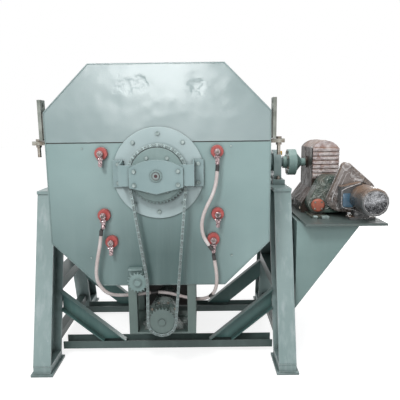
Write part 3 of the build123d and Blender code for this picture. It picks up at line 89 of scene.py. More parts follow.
def addNode(tree, kind, **settings):
    node = tree.nodes.new(kind)
    for key, value in settings.items():
        if key in node.inputs:
            node.inputs[key].default_value = value
        else:
            setattr(node, key, value)
    return node


def objectPlace(tree):
    return addNode(tree, "ShaderNodeTexCoord").outputs["Object"]


def startGroup(name, inputs, outputs):
    group = bpy.data.node_groups.new(name, "ShaderNodeTree")
    for label, value in inputs.items():
        kind = "NodeSocketColor" if isinstance(value, tuple) else "NodeSocketFloat"
        socket = group.interface.new_socket(label, in_out="INPUT", socket_type=kind)
        socket.default_value = value
    for label, kind in outputs.items():
        group.interface.new_socket(label, in_out="OUTPUT", socket_type=kind)
    entry = group.nodes.new("NodeGroupInput")
    leave = group.nodes.new("NodeGroupOutput")
    return group, entry, leave


def useGroup(tree, group, values):
    node = tree.nodes.new("ShaderNodeGroup")
    node.node_tree = group
    for key, value in values.items():
        node.inputs[key].default_value = value
    return node


def ramp(tree, source, low, high, toLow=0.0, toHigh=1.0):
    node = addNode(tree, "ShaderNodeMapRange")
    node.inputs["From Min"].default_value = low
    node.inputs["From Max"].default_value = high
    node.inputs["To Min"].default_value = toLow
    node.inputs["To Max"].default_value = toHigh
    tree.links.new(source, node.inputs["Value"])
    return node.outputs["Result"]


def combine(tree, operation, first, second):
    node = addNode(tree, "ShaderNodeMath", operation=operation)
    for socket, value in zip(node.inputs, (first, second)):
        if isinstance(value, (int, float)):
            socket.default_value = value
        else:
            tree.links.new(value, socket)
    return node.outputs["Value"]


def times(tree, first, second):
    return combine(tree, "MULTIPLY", first, second)


def blendColor(tree, factor, first, second):
    node = addNode(tree, "ShaderNodeMix", data_type="RGBA")
    tree.links.new(factor, node.inputs["Factor"])
    for label, value in (("A", first), ("B", second)):
        if isinstance(value, tuple):
            node.inputs[label].default_value = value
        else:
            tree.links.new(value, node.inputs[label])
    return node.outputs["Result"]


def addBump(tree, height, strength, distance, under=None):
    node = addNode(tree, "ShaderNodeBump", Distance=distance)
    tree.links.new(height, node.inputs["Height"])
    if isinstance(strength, float):
        node.inputs["Strength"].default_value = strength
    else:
        tree.links.new(strength, node.inputs["Strength"])
    if under:
        tree.links.new(under, node.inputs["Normal"])
    return node.outputs["Normal"]


def addNoise(tree, place, scale, detail=4.0, rough=0.55, output="Fac"):
    node = addNode(tree, "ShaderNodeTexNoise", Scale=scale, Detail=detail, Roughness=rough)
    tree.links.new(place, node.inputs["Vector"])
    return node.outputs[output]


# Noise whose scale is an input of its group
def scaledNoise(group, place, scale, **settings):
    node = addNode(group, "ShaderNodeTexNoise", **settings)
    group.links.new(place, node.inputs["Vector"])
    group.links.new(scale, node.inputs["Scale"])
    return node.outputs["Fac"]


# A place pushed about by noise, so that what is laid on it isn't regular
def warpedPlace(tree, place, scale, amount):
    warp = addNoise(tree, place, scale, 3.0, output="Color")
    bend = addNode(tree, "ShaderNodeMix", data_type="VECTOR")
    bend.inputs["Factor"].default_value = amount
    tree.links.new(place, bend.inputs["A"])
    tree.links.new(warp, bend.inputs["B"])
    return bend.outputs["Result"]


def distanceFrom(tree, place, center):
    node = addNode(tree, "ShaderNodeVectorMath", operation="DISTANCE")
    tree.links.new(place, node.inputs[0])
    node.inputs[1].default_value = center
    return node.outputs["Value"]


# Roughness between the group's two gloss inputs
def glossRange(group, entry, mask):
    node = addNode(group, "ShaderNodeMapRange")
    group.links.new(mask, node.inputs["Value"])
    group.links.new(entry.outputs["Gloss Low"], node.inputs["To Min"])
    group.links.new(entry.outputs["Gloss High"], node.inputs["To Max"])
    return node.outputs["Result"]


# Dirt and painted shade that darken the corners, and pale edges of wear and painted highlight
def buildCornerShadeGroup():
    group, entry, leave = startGroup(
        "cornerShadeAndWear",
        {"Reach": 0.03, "Edge Size": 0.003},
        {"Dirt And Shade": "NodeSocketFloat", "Worn And Lit Edge": "NodeSocketFloat", "Rounded": "NodeSocketVector"},
    )
    place = objectPlace(group)
    broken = addNoise(group, place, 26.0, 5.0, 0.65)
    # painted shade with dirt: the surface darkens where it is closed in, in corners, crevices and under parts
    corner = addNode(group, "ShaderNodeAmbientOcclusion", samples=6)
    group.links.new(entry.outputs["Reach"], corner.inputs["Distance"])
    closed = ramp(group, corner.outputs["AO"], 0.9, 0.35)
    patchy = ramp(group, broken, 0.3, 0.62, 0.55, 1.0)
    group.links.new(times(group, closed, patchy), leave.inputs["Dirt And Shade"])
    # pale rim on the edges: rubbed wear and painted highlight
    bevel = addNode(group, "ShaderNodeBevel", samples=4)
    group.links.new(entry.outputs["Edge Size"], bevel.inputs["Radius"])
    flat = addNode(group, "ShaderNodeNewGeometry")
    along = addNode(group, "ShaderNodeVectorMath", operation="DOT_PRODUCT")
    group.links.new(bevel.outputs["Normal"], along.inputs[0])
    group.links.new(flat.outputs["Normal"], along.inputs[1])
    edge = ramp(group, along.outputs["Value"], 0.995, 0.86)
    wornLitEdge = times(group, edge, ramp(group, broken, 0.42, 0.56, 0.25, 1.0))
    group.links.new(wornLitEdge, leave.inputs["Worn And Lit Edge"])
    group.links.new(bevel.outputs["Normal"], leave.inputs["Rounded"])
    return group


cornerShadeAndWear = buildCornerShadeGroup()


# Painted shade on the casing's front, darker low in its middle and on its left, in metres
lowFrontShade = {
    "height": (1.25, 0.78),  # from where it starts to where it is full
    "middle": (0.5, 0.12),
    "left": (0.3, -0.3),
    "leftShare": 0.6,
}
# Painted shade on the end flange round the drum's bearing, behind the sprocket's teeth and strongest below
toothGapShade = {
    "center": (0, -0.662, axisHeight),
    "inner": (0.135, 0.15),
    "outer": (0.176, 0.164),
    "fade": (1.3, 1.2),
    "upperShare": 0.3,
}


def lowFrontShadeMask(group, entry, split):
    low = ramp(group, split.outputs["Z"], *lowFrontShade["height"])
    middle = ramp(group, combine(group, "ABSOLUTE", split.outputs["X"], 0.0), *lowFrontShade["middle"])
    left = ramp(group, split.outputs["X"], *lowFrontShade["left"], 0.0, lowFrontShade["leftShare"])
    near = combine(group, "MAXIMUM", middle, left)
    return times(group, times(group, low, near), entry.outputs["Low Front Shade Amount"])


def toothGapShadeMask(group, entry, place, split):
    reach = distanceFrom(group, place, toothGapShade["center"])
    ring = times(group, ramp(group, reach, *toothGapShade["inner"]), entry.outputs["Tooth Gap Shade"])
    ring = times(group, ring, ramp(group, reach, *toothGapShade["outer"]))
    fade = ramp(group, split.outputs["Z"], *toothGapShade["fade"], toothGapShade["upperShare"], 1.0)
    return times(group, ring, fade)


# The three skins have the same outputs, and their inputs start at what most finishes share
skinOutputs = {"Color": "NodeSocketColor", "Roughness": "NodeSocketFloat", "Normal": "NodeSocketVector"}


# Paint: cloudy tone, runs down the sheet, orange peel, dents, dirt and painted shade in corners, painted
# shade low on the front and behind the sprocket teeth, and pale edges of wear and painted highlight
def buildPaintGroup():
    group, entry, leave = startGroup(
        "paintFilm",
        {
            "Tone": rgb(0.3, 0.4, 0.37), "Shade": rgb(0.2, 0.3, 0.27), "Cloud Scale": 3.0,
            "Runs": rgb(0.12, 0.13, 0.11), "Runs Amount": 0.3, "Dirt And Shade": rgb(0.03, 0.035, 0.03),
            "Dirt And Shade Amount": 0.95, "Dirt And Shade Reach": 0.03, "Worn And Lit Edge": rgb(0.5, 0.55, 0.53), "Worn And Lit Edge Amount": 0.5,
            "Low Front Shade Amount": 0.0, "Tooth Gap Shade": 0.0, "Gloss Low": 0.24, "Gloss High": 0.4, "Peel": 0.06,
            "Dent": 0.03,
        },
        skinOutputs,
    )
    links = group.links
    place = objectPlace(group)
    clouds = scaledNoise(group, place, entry.outputs["Cloud Scale"], Detail=5.0, Roughness=0.5)
    tone = blendColor(group, ramp(group, clouds, 0.32, 0.68), entry.outputs["Tone"], entry.outputs["Shade"])
    split = addNode(group, "ShaderNodeSeparateXYZ")
    links.new(place, split.inputs["Vector"])
    # painted shade: darker low on the front, in the colour of dirt and shade
    tone = blendColor(group, lowFrontShadeMask(group, entry, split), tone, entry.outputs["Dirt And Shade"])
    # painted shade behind the sprocket's teeth
    tone = blendColor(group, toothGapShadeMask(group, entry, place, split), tone, entry.outputs["Dirt And Shade"])
    stretch = addNode(group, "ShaderNodeMapping")
    stretch.inputs["Scale"].default_value = (13, 13, 0.9)
    links.new(place, stretch.inputs["Vector"])
    streaks = addNoise(group, stretch.outputs["Vector"], 1.7, 6.0, 0.62)
    streakMask = ramp(group, streaks, 0.5, 0.74)
    specks = addNode(group, "ShaderNodeTexVoronoi", Scale=17.0)
    links.new(place, specks.inputs["Vector"])
    speckMask = ramp(group, specks.outputs["Distance"], 0.09, 0.03)
    marks = combine(group, "MAXIMUM", streakMask, speckMask)
    shadeAndWear = useGroup(group, cornerShadeAndWear, {"Edge Size": 0.0035})
    links.new(entry.outputs["Dirt And Shade Reach"], shadeAndWear.inputs["Reach"])
    for mask, label in ((marks, "Runs"), (shadeAndWear.outputs["Worn And Lit Edge"], "Worn And Lit Edge"), (shadeAndWear.outputs["Dirt And Shade"], "Dirt And Shade")):
        share = times(group, mask, entry.outputs[label + " Amount"])
        tone = blendColor(group, share, tone, entry.outputs[label])
    links.new(tone, leave.inputs["Color"])
    links.new(glossRange(group, entry, clouds), leave.inputs["Roughness"])
    peel = addNoise(group, place, 150.0, 2.0)
    fine = addBump(group, peel, entry.outputs["Peel"], 0.002, shadeAndWear.outputs["Rounded"])
    dents = addNoise(group, place, 4.4, 2.0, 0.5)
    links.new(addBump(group, dents, entry.outputs["Dent"], 0.03, fine), leave.inputs["Normal"])
    return group


# Bare metal: blotches, fine grain, and dark corners of oil and painted shade
def buildMetalGroup():
    group, entry, leave = startGroup(
        "metalSkin",
        {
            "Bright": rgb(0.5, 0.5, 0.5), "Dark": rgb(0.2, 0.2, 0.2), "Scale": 12.0, "Oil And Shade": 0.9,
            "Gloss Low": 0.35, "Gloss High": 0.6, "Grain": 0.2,
        },
        skinOutputs,
    )
    links = group.links
    place = objectPlace(group)
    patches = scaledNoise(group, place, entry.outputs["Scale"], Detail=6.0, Roughness=0.6)
    spread = ramp(group, patches, 0.35, 0.68)
    tone = blendColor(group, spread, entry.outputs["Bright"], entry.outputs["Dark"])
    shadeAndWear = useGroup(group, cornerShadeAndWear, {"Reach": 0.014, "Edge Size": 0.0012})
    # painted shade with oil: dark where the metal is closed in
    oilAndShade = times(group, shadeAndWear.outputs["Dirt And Shade"], entry.outputs["Oil And Shade"])
    links.new(blendColor(group, oilAndShade, tone, rgb(0.015, 0.015, 0.014)), leave.inputs["Color"])
    links.new(glossRange(group, entry, spread), leave.inputs["Roughness"])
    grain = addNoise(group, place, 240.0, 3.0)
    fine = addBump(group, grain, entry.outputs["Grain"], 0.001, shadeAndWear.outputs["Rounded"])
    links.new(fine, leave.inputs["Normal"])
    return group


# Clear packing film over castings: painted sheen on the creases, brown where it faces up, and painted shade
# in its gaps
def buildFilmGroup():
    group, entry, leave = startGroup(
        "packingFilm",
        {
            "Body": rgb(0.1, 0.08, 0.07), "Patch": rgb(0.2, 0.1, 0.1), "Upper": rgb(0.22, 0.13, 0.09),
            "Upper Amount": 0.85, "Sheen": rgb(0.6, 0.55, 0.55), "Fold Scale": 9.0, "Fold Amount": 1.0,
            "Crumple": 0.5,
        },
        skinOutputs,
    )
    links = group.links
    place = objectPlace(group)
    bent = warpedPlace(group, place, 6.0, 0.14)
    scale = entry.outputs["Fold Scale"]
    creases = []
    for detail, width in ((0.0, 0.03), (2.0, 0.045)):
        folds = scaledNoise(group, bent, scale, Detail=detail, Roughness=0.5, Distortion=0.8)
        away = combine(group, "ABSOLUTE", combine(group, "SUBTRACT", folds, 0.5), 0.0)
        creases.append(ramp(group, away, width, 0.0))
    ridge = combine(group, "MAXIMUM", creases[0], creases[1])
    patches = addNoise(group, place, 12.0, 5.0, 0.65)
    patchMask = ramp(group, patches, 0.42, 0.64)
    body = blendColor(group, patchMask, entry.outputs["Body"], entry.outputs["Patch"])
    facing = addNode(group, "ShaderNodeNewGeometry")
    split = addNode(group, "ShaderNodeSeparateXYZ")
    links.new(facing.outputs["Normal"], split.inputs["Vector"])
    upward = ramp(group, split.outputs["Z"], 0.15, 0.75)
    upperMask = times(group, upward, ramp(group, patches, 0.35, 0.55, 0.5, 1.0))
    upperShare = times(group, upperMask, entry.outputs["Upper Amount"])
    body = blendColor(group, upperShare, body, entry.outputs["Upper"])
    # painted sheen along the creases, weaker on upward faces
    lit = times(group, ridge, patchMask)
    dull = combine(group, "SUBTRACT", 1.0, times(group, upward, 0.65))
    lit = times(group, times(group, lit, dull), entry.outputs["Fold Amount"])
    creaseSheen = blendColor(group, lit, body, entry.outputs["Sheen"])
    shadeAndWear = useGroup(group, cornerShadeAndWear, {"Reach": 0.02, "Edge Size": 0.002})
    # painted shade in the gaps between ribs and parts
    gapShade = times(group, shadeAndWear.outputs["Dirt And Shade"], 0.85)
    links.new(blendColor(group, gapShade, creaseSheen, rgb(0.035, 0.026, 0.025)), leave.inputs["Color"])
    links.new(ramp(group, patches, 0.3, 0.7, 0.14, 0.46), leave.inputs["Roughness"])
    folded = addBump(group, ridge, entry.outputs["Crumple"], 0.011)
    small = addNoise(group, place, 36.0, 4.0, 0.7)
    links.new(addBump(group, small, entry.outputs["Crumple"], 0.006, folded), leave.inputs["Normal"])
    return group


paintFilm = buildPaintGroup()
metalSkin = buildMetalGroup()
packingFilm = buildFilmGroup()


def wireShader(tree, shader, color, roughness, normal):
    tree.links.new(color, shader.inputs["Base Color"])
    tree.links.new(roughness, shader.inputs["Roughness"])
    tree.links.new(normal, shader.inputs["Normal"])


# Specular level and metallic share of the skins that differ from the rest of their kind
skinShine = {"upperPaint": 0.7, "platformPaint": 0.35, "housingFilm": 0.15, "ribFilm": 0.25}
skinMetal = {"boltPaint": 0.15, "earSteel": 0.4, "cowlFoil": 0.55, "drumShaft": 0.25}


def skinMaterial(name, group, look, metallic, shine):
    material, tree, shader = newMaterial(name)
    wireShader(tree, shader, *useGroup(tree, group, look).outputs)
    shader.inputs["Metallic"].default_value = skinMetal.get(name, metallic)
    shader.inputs["Specular IOR Level"].default_value = skinShine.get(name, shine)
    return material


# Paint of the sheets, frame, plates, drives, bearing cap and junction box, in linear colour
paints = {
    "casingPaint": {
        "Tone": rgb(0.272, 0.375, 0.372), "Shade": rgb(0.18, 0.268, 0.264), "Cloud Scale": 1.1,
        "Runs": rgb(0.27, 0.35, 0.345), "Runs Amount": 0.12, "Dirt And Shade": rgb(0.038, 0.078, 0.075),
        "Dirt And Shade Amount": 0.85, "Dirt And Shade Reach": 0.024, "Worn And Lit Edge Amount": 0.3, "Low Front Shade Amount": 0.82,
        "Gloss Low": 0.22, "Peel": 0.05, "Dent": 0.1,
    },
    # Casing paint on the upper sheet, lighter than on the lower casing: painted light on the top
    "upperPaint": {
        "Tone": rgb(0.32, 0.392, 0.397), "Shade": rgb(0.215, 0.288, 0.29), "Cloud Scale": 1.3,
        "Runs": rgb(0.3, 0.37, 0.365), "Runs Amount": 0.08, "Dirt And Shade Amount": 0.75, "Dirt And Shade Reach": 0.022,
        "Worn And Lit Edge": rgb(0.2, 0.16, 0.13), "Worn And Lit Edge Amount": 0.45, "Gloss Low": 0.18, "Gloss High": 0.32,
        "Dent": 0.28,
    },
    "flangePaint": {
        "Tone": rgb(0.385, 0.475, 0.482), "Shade": rgb(0.315, 0.405, 0.412),
        "Runs": rgb(0.36, 0.44, 0.44), "Runs Amount": 0.15, "Dirt And Shade": rgb(0.035, 0.05, 0.047),
        "Dirt And Shade Amount": 1.0, "Dirt And Shade Reach": 0.022, "Worn And Lit Edge": rgb(0.46, 0.54, 0.53), "Worn And Lit Edge Amount": 0.6,
        "Tooth Gap Shade": 0.9, "Peel": 0.08,
    },
    "platePaint": {
        "Tone": rgb(0.255, 0.345, 0.352), "Shade": rgb(0.2, 0.285, 0.29), "Runs": rgb(0.32, 0.4, 0.395),
        "Runs Amount": 0.15, "Dirt And Shade": rgb(0.035, 0.05, 0.047), "Dirt And Shade Reach": 0.02,
        "Worn And Lit Edge": rgb(0.42, 0.5, 0.49), "Worn And Lit Edge Amount": 0.55, "Peel": 0.08,
    },
    "drivePaint": {
        "Tone": rgb(0.215, 0.3, 0.293), "Shade": rgb(0.155, 0.225, 0.218), "Cloud Scale": 6.0,
        "Runs": rgb(0.3, 0.38, 0.37), "Runs Amount": 0.2, "Dirt And Shade": rgb(0.02, 0.03, 0.028),
        "Dirt And Shade Reach": 0.014, "Worn And Lit Edge": rgb(0.4, 0.48, 0.47), "Worn And Lit Edge Amount": 0.6, "Gloss Low": 0.26,
        "Gloss High": 0.45, "Peel": 0.1, "Dent": 0.0,
    },
    # Chain paint, darker towards the bottom by painted shade
    "chainPaint": {
        "Tone": rgb(0.42, 0.53, 0.525), "Shade": rgb(0.3, 0.4, 0.395), "Cloud Scale": 12.0,
        "Runs": rgb(0.4, 0.48, 0.47), "Dirt And Shade": rgb(0.012, 0.018, 0.017), "Dirt And Shade Amount": 1.0,
        "Dirt And Shade Reach": 0.009, "Worn And Lit Edge": rgb(0.48, 0.56, 0.55), "Worn And Lit Edge Amount": 0.6, "Low Front Shade Amount": 0.5,
        "Gloss Low": 0.26, "Gloss High": 0.45, "Peel": 0.1, "Dent": 0.0,
    },
    "sprocketPaint": {
        "Tone": rgb(0.115, 0.16, 0.15), "Shade": rgb(0.085, 0.12, 0.112), "Cloud Scale": 7.0,
        "Runs": rgb(0.2, 0.25, 0.24), "Runs Amount": 0.2, "Dirt And Shade": rgb(0.012, 0.017, 0.016),
        "Dirt And Shade Reach": 0.014, "Worn And Lit Edge": rgb(0.28, 0.35, 0.34), "Gloss Low": 0.3, "Gloss High": 0.5,
        "Peel": 0.1, "Dent": 0.0,
    },
    "postPaint": {
        "Tone": rgb(0.125, 0.175, 0.162), "Shade": rgb(0.09, 0.128, 0.12), "Cloud Scale": 4.0,
        "Runs": rgb(0.17, 0.2, 0.175), "Dirt And Shade Amount": 0.85, "Worn And Lit Edge": rgb(0.25, 0.32, 0.3),
        "Worn And Lit Edge Amount": 0.4, "Gloss Low": 0.3, "Gloss High": 0.5, "Dent": 0.02,
    },
    "legPaint": {
        "Tone": rgb(0.27, 0.355, 0.352), "Shade": rgb(0.205, 0.285, 0.28), "Cloud Scale": 3.2,
        "Runs": rgb(0.42, 0.49, 0.5), "Runs Amount": 0.65, "Dirt And Shade": rgb(0.025, 0.035, 0.032),
        "Dirt And Shade Reach": 0.06, "Worn And Lit Edge": rgb(0.45, 0.52, 0.51), "Worn And Lit Edge Amount": 0.45, "Gloss High": 0.46,
        "Peel": 0.08,
    },
    # Frame paint on the rails, far darker than on the legs: painted shade under the casing
    "railPaint": {
        "Tone": rgb(0.085, 0.125, 0.119), "Shade": rgb(0.062, 0.09, 0.086),
        "Runs": rgb(0.13, 0.19, 0.18), "Dirt And Shade": rgb(0.02, 0.022, 0.02), "Dirt And Shade Amount": 0.85,
        "Dirt And Shade Reach": 0.04, "Worn And Lit Edge": rgb(0.2, 0.27, 0.255), "Worn And Lit Edge Amount": 0.4, "Gloss Low": 0.26,
        "Gloss High": 0.5,
    },
    # Frame paint on the braces, far darker than on the legs: painted shade under the casing
    "bracePaint": {
        "Tone": rgb(0.08, 0.163, 0.152), "Shade": rgb(0.055, 0.118, 0.112),
        "Runs": rgb(0.15, 0.22, 0.21), "Dirt And Shade": rgb(0.018, 0.022, 0.02), "Dirt And Shade Amount": 0.85,
        "Dirt And Shade Reach": 0.04, "Worn And Lit Edge": rgb(0.2, 0.29, 0.27), "Worn And Lit Edge Amount": 0.4, "Gloss Low": 0.22,
        "Gloss High": 0.46,
    },
    "bracketPaint": {
        "Tone": rgb(0.24, 0.345, 0.336), "Shade": rgb(0.155, 0.235, 0.226), "Cloud Scale": 1.6,
        "Runs": rgb(0.25, 0.33, 0.32), "Runs Amount": 0.15, "Dirt And Shade Amount": 0.8, "Worn And Lit Edge Amount": 0.35,
        "Gloss High": 0.42, "Peel": 0.05, "Dent": 0.08,
    },
    "platformPaint": {
        "Tone": rgb(0.115, 0.15, 0.145), "Shade": rgb(0.08, 0.107, 0.103), "Cloud Scale": 5.0,
        "Runs": rgb(0.16, 0.16, 0.14), "Runs Amount": 0.35, "Dirt And Shade Amount": 0.9, "Dirt And Shade Reach": 0.05,
        "Worn And Lit Edge": rgb(0.24, 0.27, 0.255), "Gloss High": 0.5,
    },
    "lugPaint": {
        "Tone": rgb(0.3, 0.32, 0.29), "Shade": rgb(0.15, 0.17, 0.15), "Cloud Scale": 16.0,
        "Runs": rgb(0.09, 0.07, 0.05), "Runs Amount": 0.6, "Dirt And Shade Amount": 0.9, "Dirt And Shade Reach": 0.02,
        "Worn And Lit Edge": rgb(0.2, 0.12, 0.08), "Gloss Low": 0.35, "Gloss High": 0.6, "Peel": 0.12, "Dent": 0.0,
    },
    "couplingPaint": {
        "Tone": rgb(0.28, 0.4, 0.375), "Shade": rgb(0.18, 0.29, 0.27), "Cloud Scale": 9.0,
        "Runs": rgb(0.22, 0.3, 0.28), "Dirt And Shade": rgb(0.02, 0.02, 0.016), "Dirt And Shade Reach": 0.025,
        "Worn And Lit Edge": rgb(0.36, 0.43, 0.4), "Gloss Low": 0.2, "Gloss High": 0.42, "Dent": 0.0,
    },
    "orangePaint": {
        "Tone": rgb(0.46, 0.14, 0.085), "Shade": rgb(0.3, 0.09, 0.06), "Cloud Scale": 24.0,
        "Runs": rgb(0.55, 0.4, 0.36), "Runs Amount": 0.6, "Dirt And Shade Amount": 0.8, "Dirt And Shade Reach": 0.015,
        "Worn And Lit Edge": rgb(0.6, 0.4, 0.33), "Gloss Low": 0.2, "Peel": 0.1, "Dent": 0.0,
    },
    "bluePaint": {
        "Tone": rgb(0.045, 0.12, 0.19), "Shade": rgb(0.03, 0.08, 0.13), "Cloud Scale": 14.0,
        "Runs": rgb(0.3, 0.36, 0.42), "Runs Amount": 0.25, "Dirt And Shade Amount": 0.8, "Dirt And Shade Reach": 0.012,
        "Worn And Lit Edge": rgb(0.3, 0.36, 0.42), "Worn And Lit Edge Amount": 0.4, "Gloss Low": 0.16, "Gloss High": 0.36,
        "Peel": 0.1, "Dent": 0.05,
    },
}

# Bright or painted metal of the shafts, bolts and fittings
metals = {
    "boltPaint": {
        "Bright": rgb(0.38, 0.46, 0.45), "Dark": rgb(0.13, 0.18, 0.17), "Scale": 60.0, "Oil And Shade": 1.0,
        "Gloss High": 0.55,
    },
    "boltSteel": {
        "Bright": rgb(0.38, 0.36, 0.32), "Dark": rgb(0.13, 0.095, 0.07), "Scale": 40.0,
        "Gloss Low": 0.25, "Grain": 0.25,
    },
    "earSteel": {
        "Bright": rgb(0.36, 0.36, 0.32), "Dark": rgb(0.15, 0.12, 0.09), "Scale": 30.0, "Grain": 0.3,
    },
    "shaftSteel": {
        "Bright": rgb(0.62, 0.62, 0.6), "Dark": rgb(0.38, 0.37, 0.35), "Scale": 14.0, "Oil And Shade": 0.7,
        "Gloss Low": 0.2, "Gloss High": 0.4, "Grain": 0.12,
    },
    "elementAlloy": {
        "Bright": rgb(0.2, 0.18, 0.17), "Dark": rgb(0.09, 0.08, 0.075), "Scale": 20.0, "Oil And Shade": 0.3,
        "Gloss Low": 0.4, "Gloss High": 0.65,
    },
    # Chrome of the element clamps, tinted pink and mottled dark: painted reflection of the red discs and
    # surroundings
    "clampChrome": {
        "Bright": rgb(0.66, 0.52, 0.53), "Dark": rgb(0.09, 0.045, 0.05), "Scale": 95.0, "Oil And Shade": 1.0,
        "Gloss Low": 0.18, "Gloss High": 0.4,
    },
    "cupBrass": {
        "Bright": rgb(0.72, 0.46, 0.12), "Dark": rgb(0.4, 0.22, 0.06), "Scale": 24.0, "Oil And Shade": 0.8,
        "Gloss Low": 0.2, "Gloss High": 0.45, "Grain": 0.08,
    },
    "gearBronze": {
        "Bright": rgb(0.6, 0.38, 0.14), "Dark": rgb(0.4, 0.25, 0.1), "Scale": 10.0, "Oil And Shade": 0.6,
        "Gloss Low": 0.25, "Gloss High": 0.4, "Grain": 0.08,
    },
}

# Packing film and foil, by what lies under it
films = {
    "drumMotorFilm": {
        "Body": rgb(0.075, 0.11, 0.1), "Patch": rgb(0.24, 0.28, 0.27), "Upper": rgb(0.26, 0.31, 0.29),
        "Upper Amount": 0.4, "Sheen": rgb(0.85, 0.9, 0.88), "Fold Scale": 26.0, "Crumple": 0.8,
    },
    # Film on the gearbox housing, far darker than on its ribs: painted shade on its side faces
    "housingFilm": {
        "Body": rgb(0.034, 0.026, 0.021), "Patch": rgb(0.055, 0.04, 0.034),
        "Upper": rgb(0.13, 0.08, 0.065), "Upper Amount": 0.6, "Sheen": rgb(0.2, 0.15, 0.14),
        "Fold Scale": 7.0, "Fold Amount": 0.25, "Crumple": 0.35,
    },
    # Film on the gearbox lid and ribs, pale: painted light on the lit front
    "ribFilm": {
        "Body": rgb(0.56, 0.51, 0.5), "Patch": rgb(0.22, 0.12, 0.105), "Upper": rgb(0.22, 0.125, 0.08),
        "Sheen": rgb(0.78, 0.73, 0.75), "Fold Scale": 15.0, "Fold Amount": 0.9,
    },
    "stageFilm": {
        "Body": rgb(0.055, 0.09, 0.076), "Patch": rgb(0.085, 0.085, 0.068),
        "Upper": rgb(0.15, 0.14, 0.11), "Upper Amount": 0.5, "Sheen": rgb(0.4, 0.44, 0.4),
        "Fold Scale": 15.0, "Fold Amount": 0.8,
    },
    "bellFilm": {
        "Body": rgb(0.105, 0.085, 0.075), "Patch": rgb(0.2, 0.175, 0.165),
        "Upper": rgb(0.23, 0.14, 0.085), "Sheen": rgb(0.72, 0.7, 0.7), "Fold Amount": 0.8,
    },
    "filmEdge": {
        "Body": rgb(0.5, 0.49, 0.49), "Patch": rgb(0.2, 0.17, 0.16), "Upper": rgb(0.5, 0.45, 0.42),
        "Upper Amount": 0.4, "Sheen": rgb(0.9, 0.9, 0.92), "Fold Scale": 40.0,
    },
    "barrelFilm": {
        "Body": rgb(0.07, 0.075, 0.077), "Patch": rgb(0.115, 0.115, 0.117),
        "Upper": rgb(0.23, 0.135, 0.08), "Sheen": rgb(0.5, 0.5, 0.5), "Fold Scale": 11.0,
        "Fold Amount": 0.6, "Crumple": 0.35,
    },
    "cowlFoil": {
        "Body": rgb(0.05, 0.052, 0.056), "Patch": rgb(0.42, 0.43, 0.45), "Upper": rgb(0.25, 0.23, 0.22),
        "Upper Amount": 0.3, "Sheen": rgb(0.92, 0.92, 0.96), "Fold Scale": 85.0, "Crumple": 0.9,
    },
}

finish = {}
for group, skins, metallic, shine in (
    (paintFilm, paints, 0.0, 0.45), (metalSkin, metals, 1.0, 0.5), (packingFilm, films, 0.0, 0.55),
):
    for name, look in skins.items():
        finish[name] = skinMaterial(name, group, look, metallic, shine)


# Mottled skins with little shine, darker in corners by dirt and painted shade: moulded insulator, the
# near-black sheet of painted shade behind the drum motor, lug sleeves, and the near-black cord of painted
# shade in the casing's gap
mouldings = {
    "terminalRed": {
        "tone": rgb(0.43, 0.095, 0.085), "shade": rgb(0.3, 0.05, 0.046), "roughness": 0.3, "scale": 40.0,
    },
    # near-black sheet that stands for the shade inside the cradle
    "shadeSheetDark": {
        "tone": rgb(0.022, 0.026, 0.024), "shade": rgb(0.05, 0.042, 0.038), "roughness": 0.55, "scale": 16.0,
    },
    "lugBlack": {
        "tone": rgb(0.018, 0.018, 0.018), "shade": rgb(0.045, 0.04, 0.04), "roughness": 0.42, "scale": 60.0,
    },
    # near-black cord: painted shade in the casing's gap
    "gapShadeCord": {
        "tone": rgb(0.012, 0.013, 0.012), "shade": rgb(0.04, 0.042, 0.038), "roughness": 0.85, "scale": 90.0,
    },
}


def mouldedMaterial(name, look):
    material, tree, shader = newMaterial(name)
    place = objectPlace(tree)
    mottle = addNoise(tree, place, look["scale"], 4.0)
    tone = blendColor(tree, ramp(tree, mottle, 0.35, 0.68), look["tone"], look["shade"])
    shadeAndWear = useGroup(tree, cornerShadeAndWear, {"Reach": 0.012, "Edge Size": 0.0015})
    # painted shade with dirt in the corners
    dirtAndShade = times(tree, shadeAndWear.outputs["Dirt And Shade"], 0.7)
    tone = blendColor(tree, dirtAndShade, tone, rgb(0.02, 0.012, 0.012))
    gloss = ramp(tree, mottle, 0.2, 0.8, look["roughness"] * 0.8, look["roughness"] * 1.3)
    wireShader(tree, shader, tone, gloss, addBump(tree, mottle, 0.12, 0.001, shadeAndWear.outputs["Rounded"]))
    return material


finish.update({name: mouldedMaterial(name, look) for name, look in mouldings.items()})


# Fibre blocks: pale felt with pits and a warm heat stain
fibre = {
    "felt": rgb(0.82, 0.79, 0.72),
    "pit": rgb(0.58, 0.53, 0.45),
    "stain": rgb(0.55, 0.42, 0.3),
}


def fibreMaterial():
    material, tree, shader = newMaterial("fibreLining")
    place = objectPlace(tree)
    felt = addNoise(tree, place, 45.0, 8.0, 0.7)
    tone = blendColor(tree, felt, fibre["pit"], fibre["felt"])
    stain = ramp(tree, addNoise(tree, place, 3.0, 4.0), 0.5, 0.75, 0.0, 0.6)
    tone = blendColor(tree, stain, tone, fibre["stain"])
    wireShader(tree, shader, tone, ramp(tree, felt, 0.0, 1.0, 0.85, 0.98), addBump(tree, felt, 0.5, 0.004))
    shader.inputs["Sheen Weight"].default_value = 0.2
    return material


finish["fibreLining"] = fibreMaterial()


# Braided glass sleeve: two diagonal sets of strands, stained by handling
braid = {
    "strand": rgb(0.82, 0.78, 0.77),
    "stain": rgb(0.62, 0.53, 0.51),
    "gap": rgb(0.24, 0.2, 0.19),
    "angle": 0.9,
    "strandScale": 72.0,
}


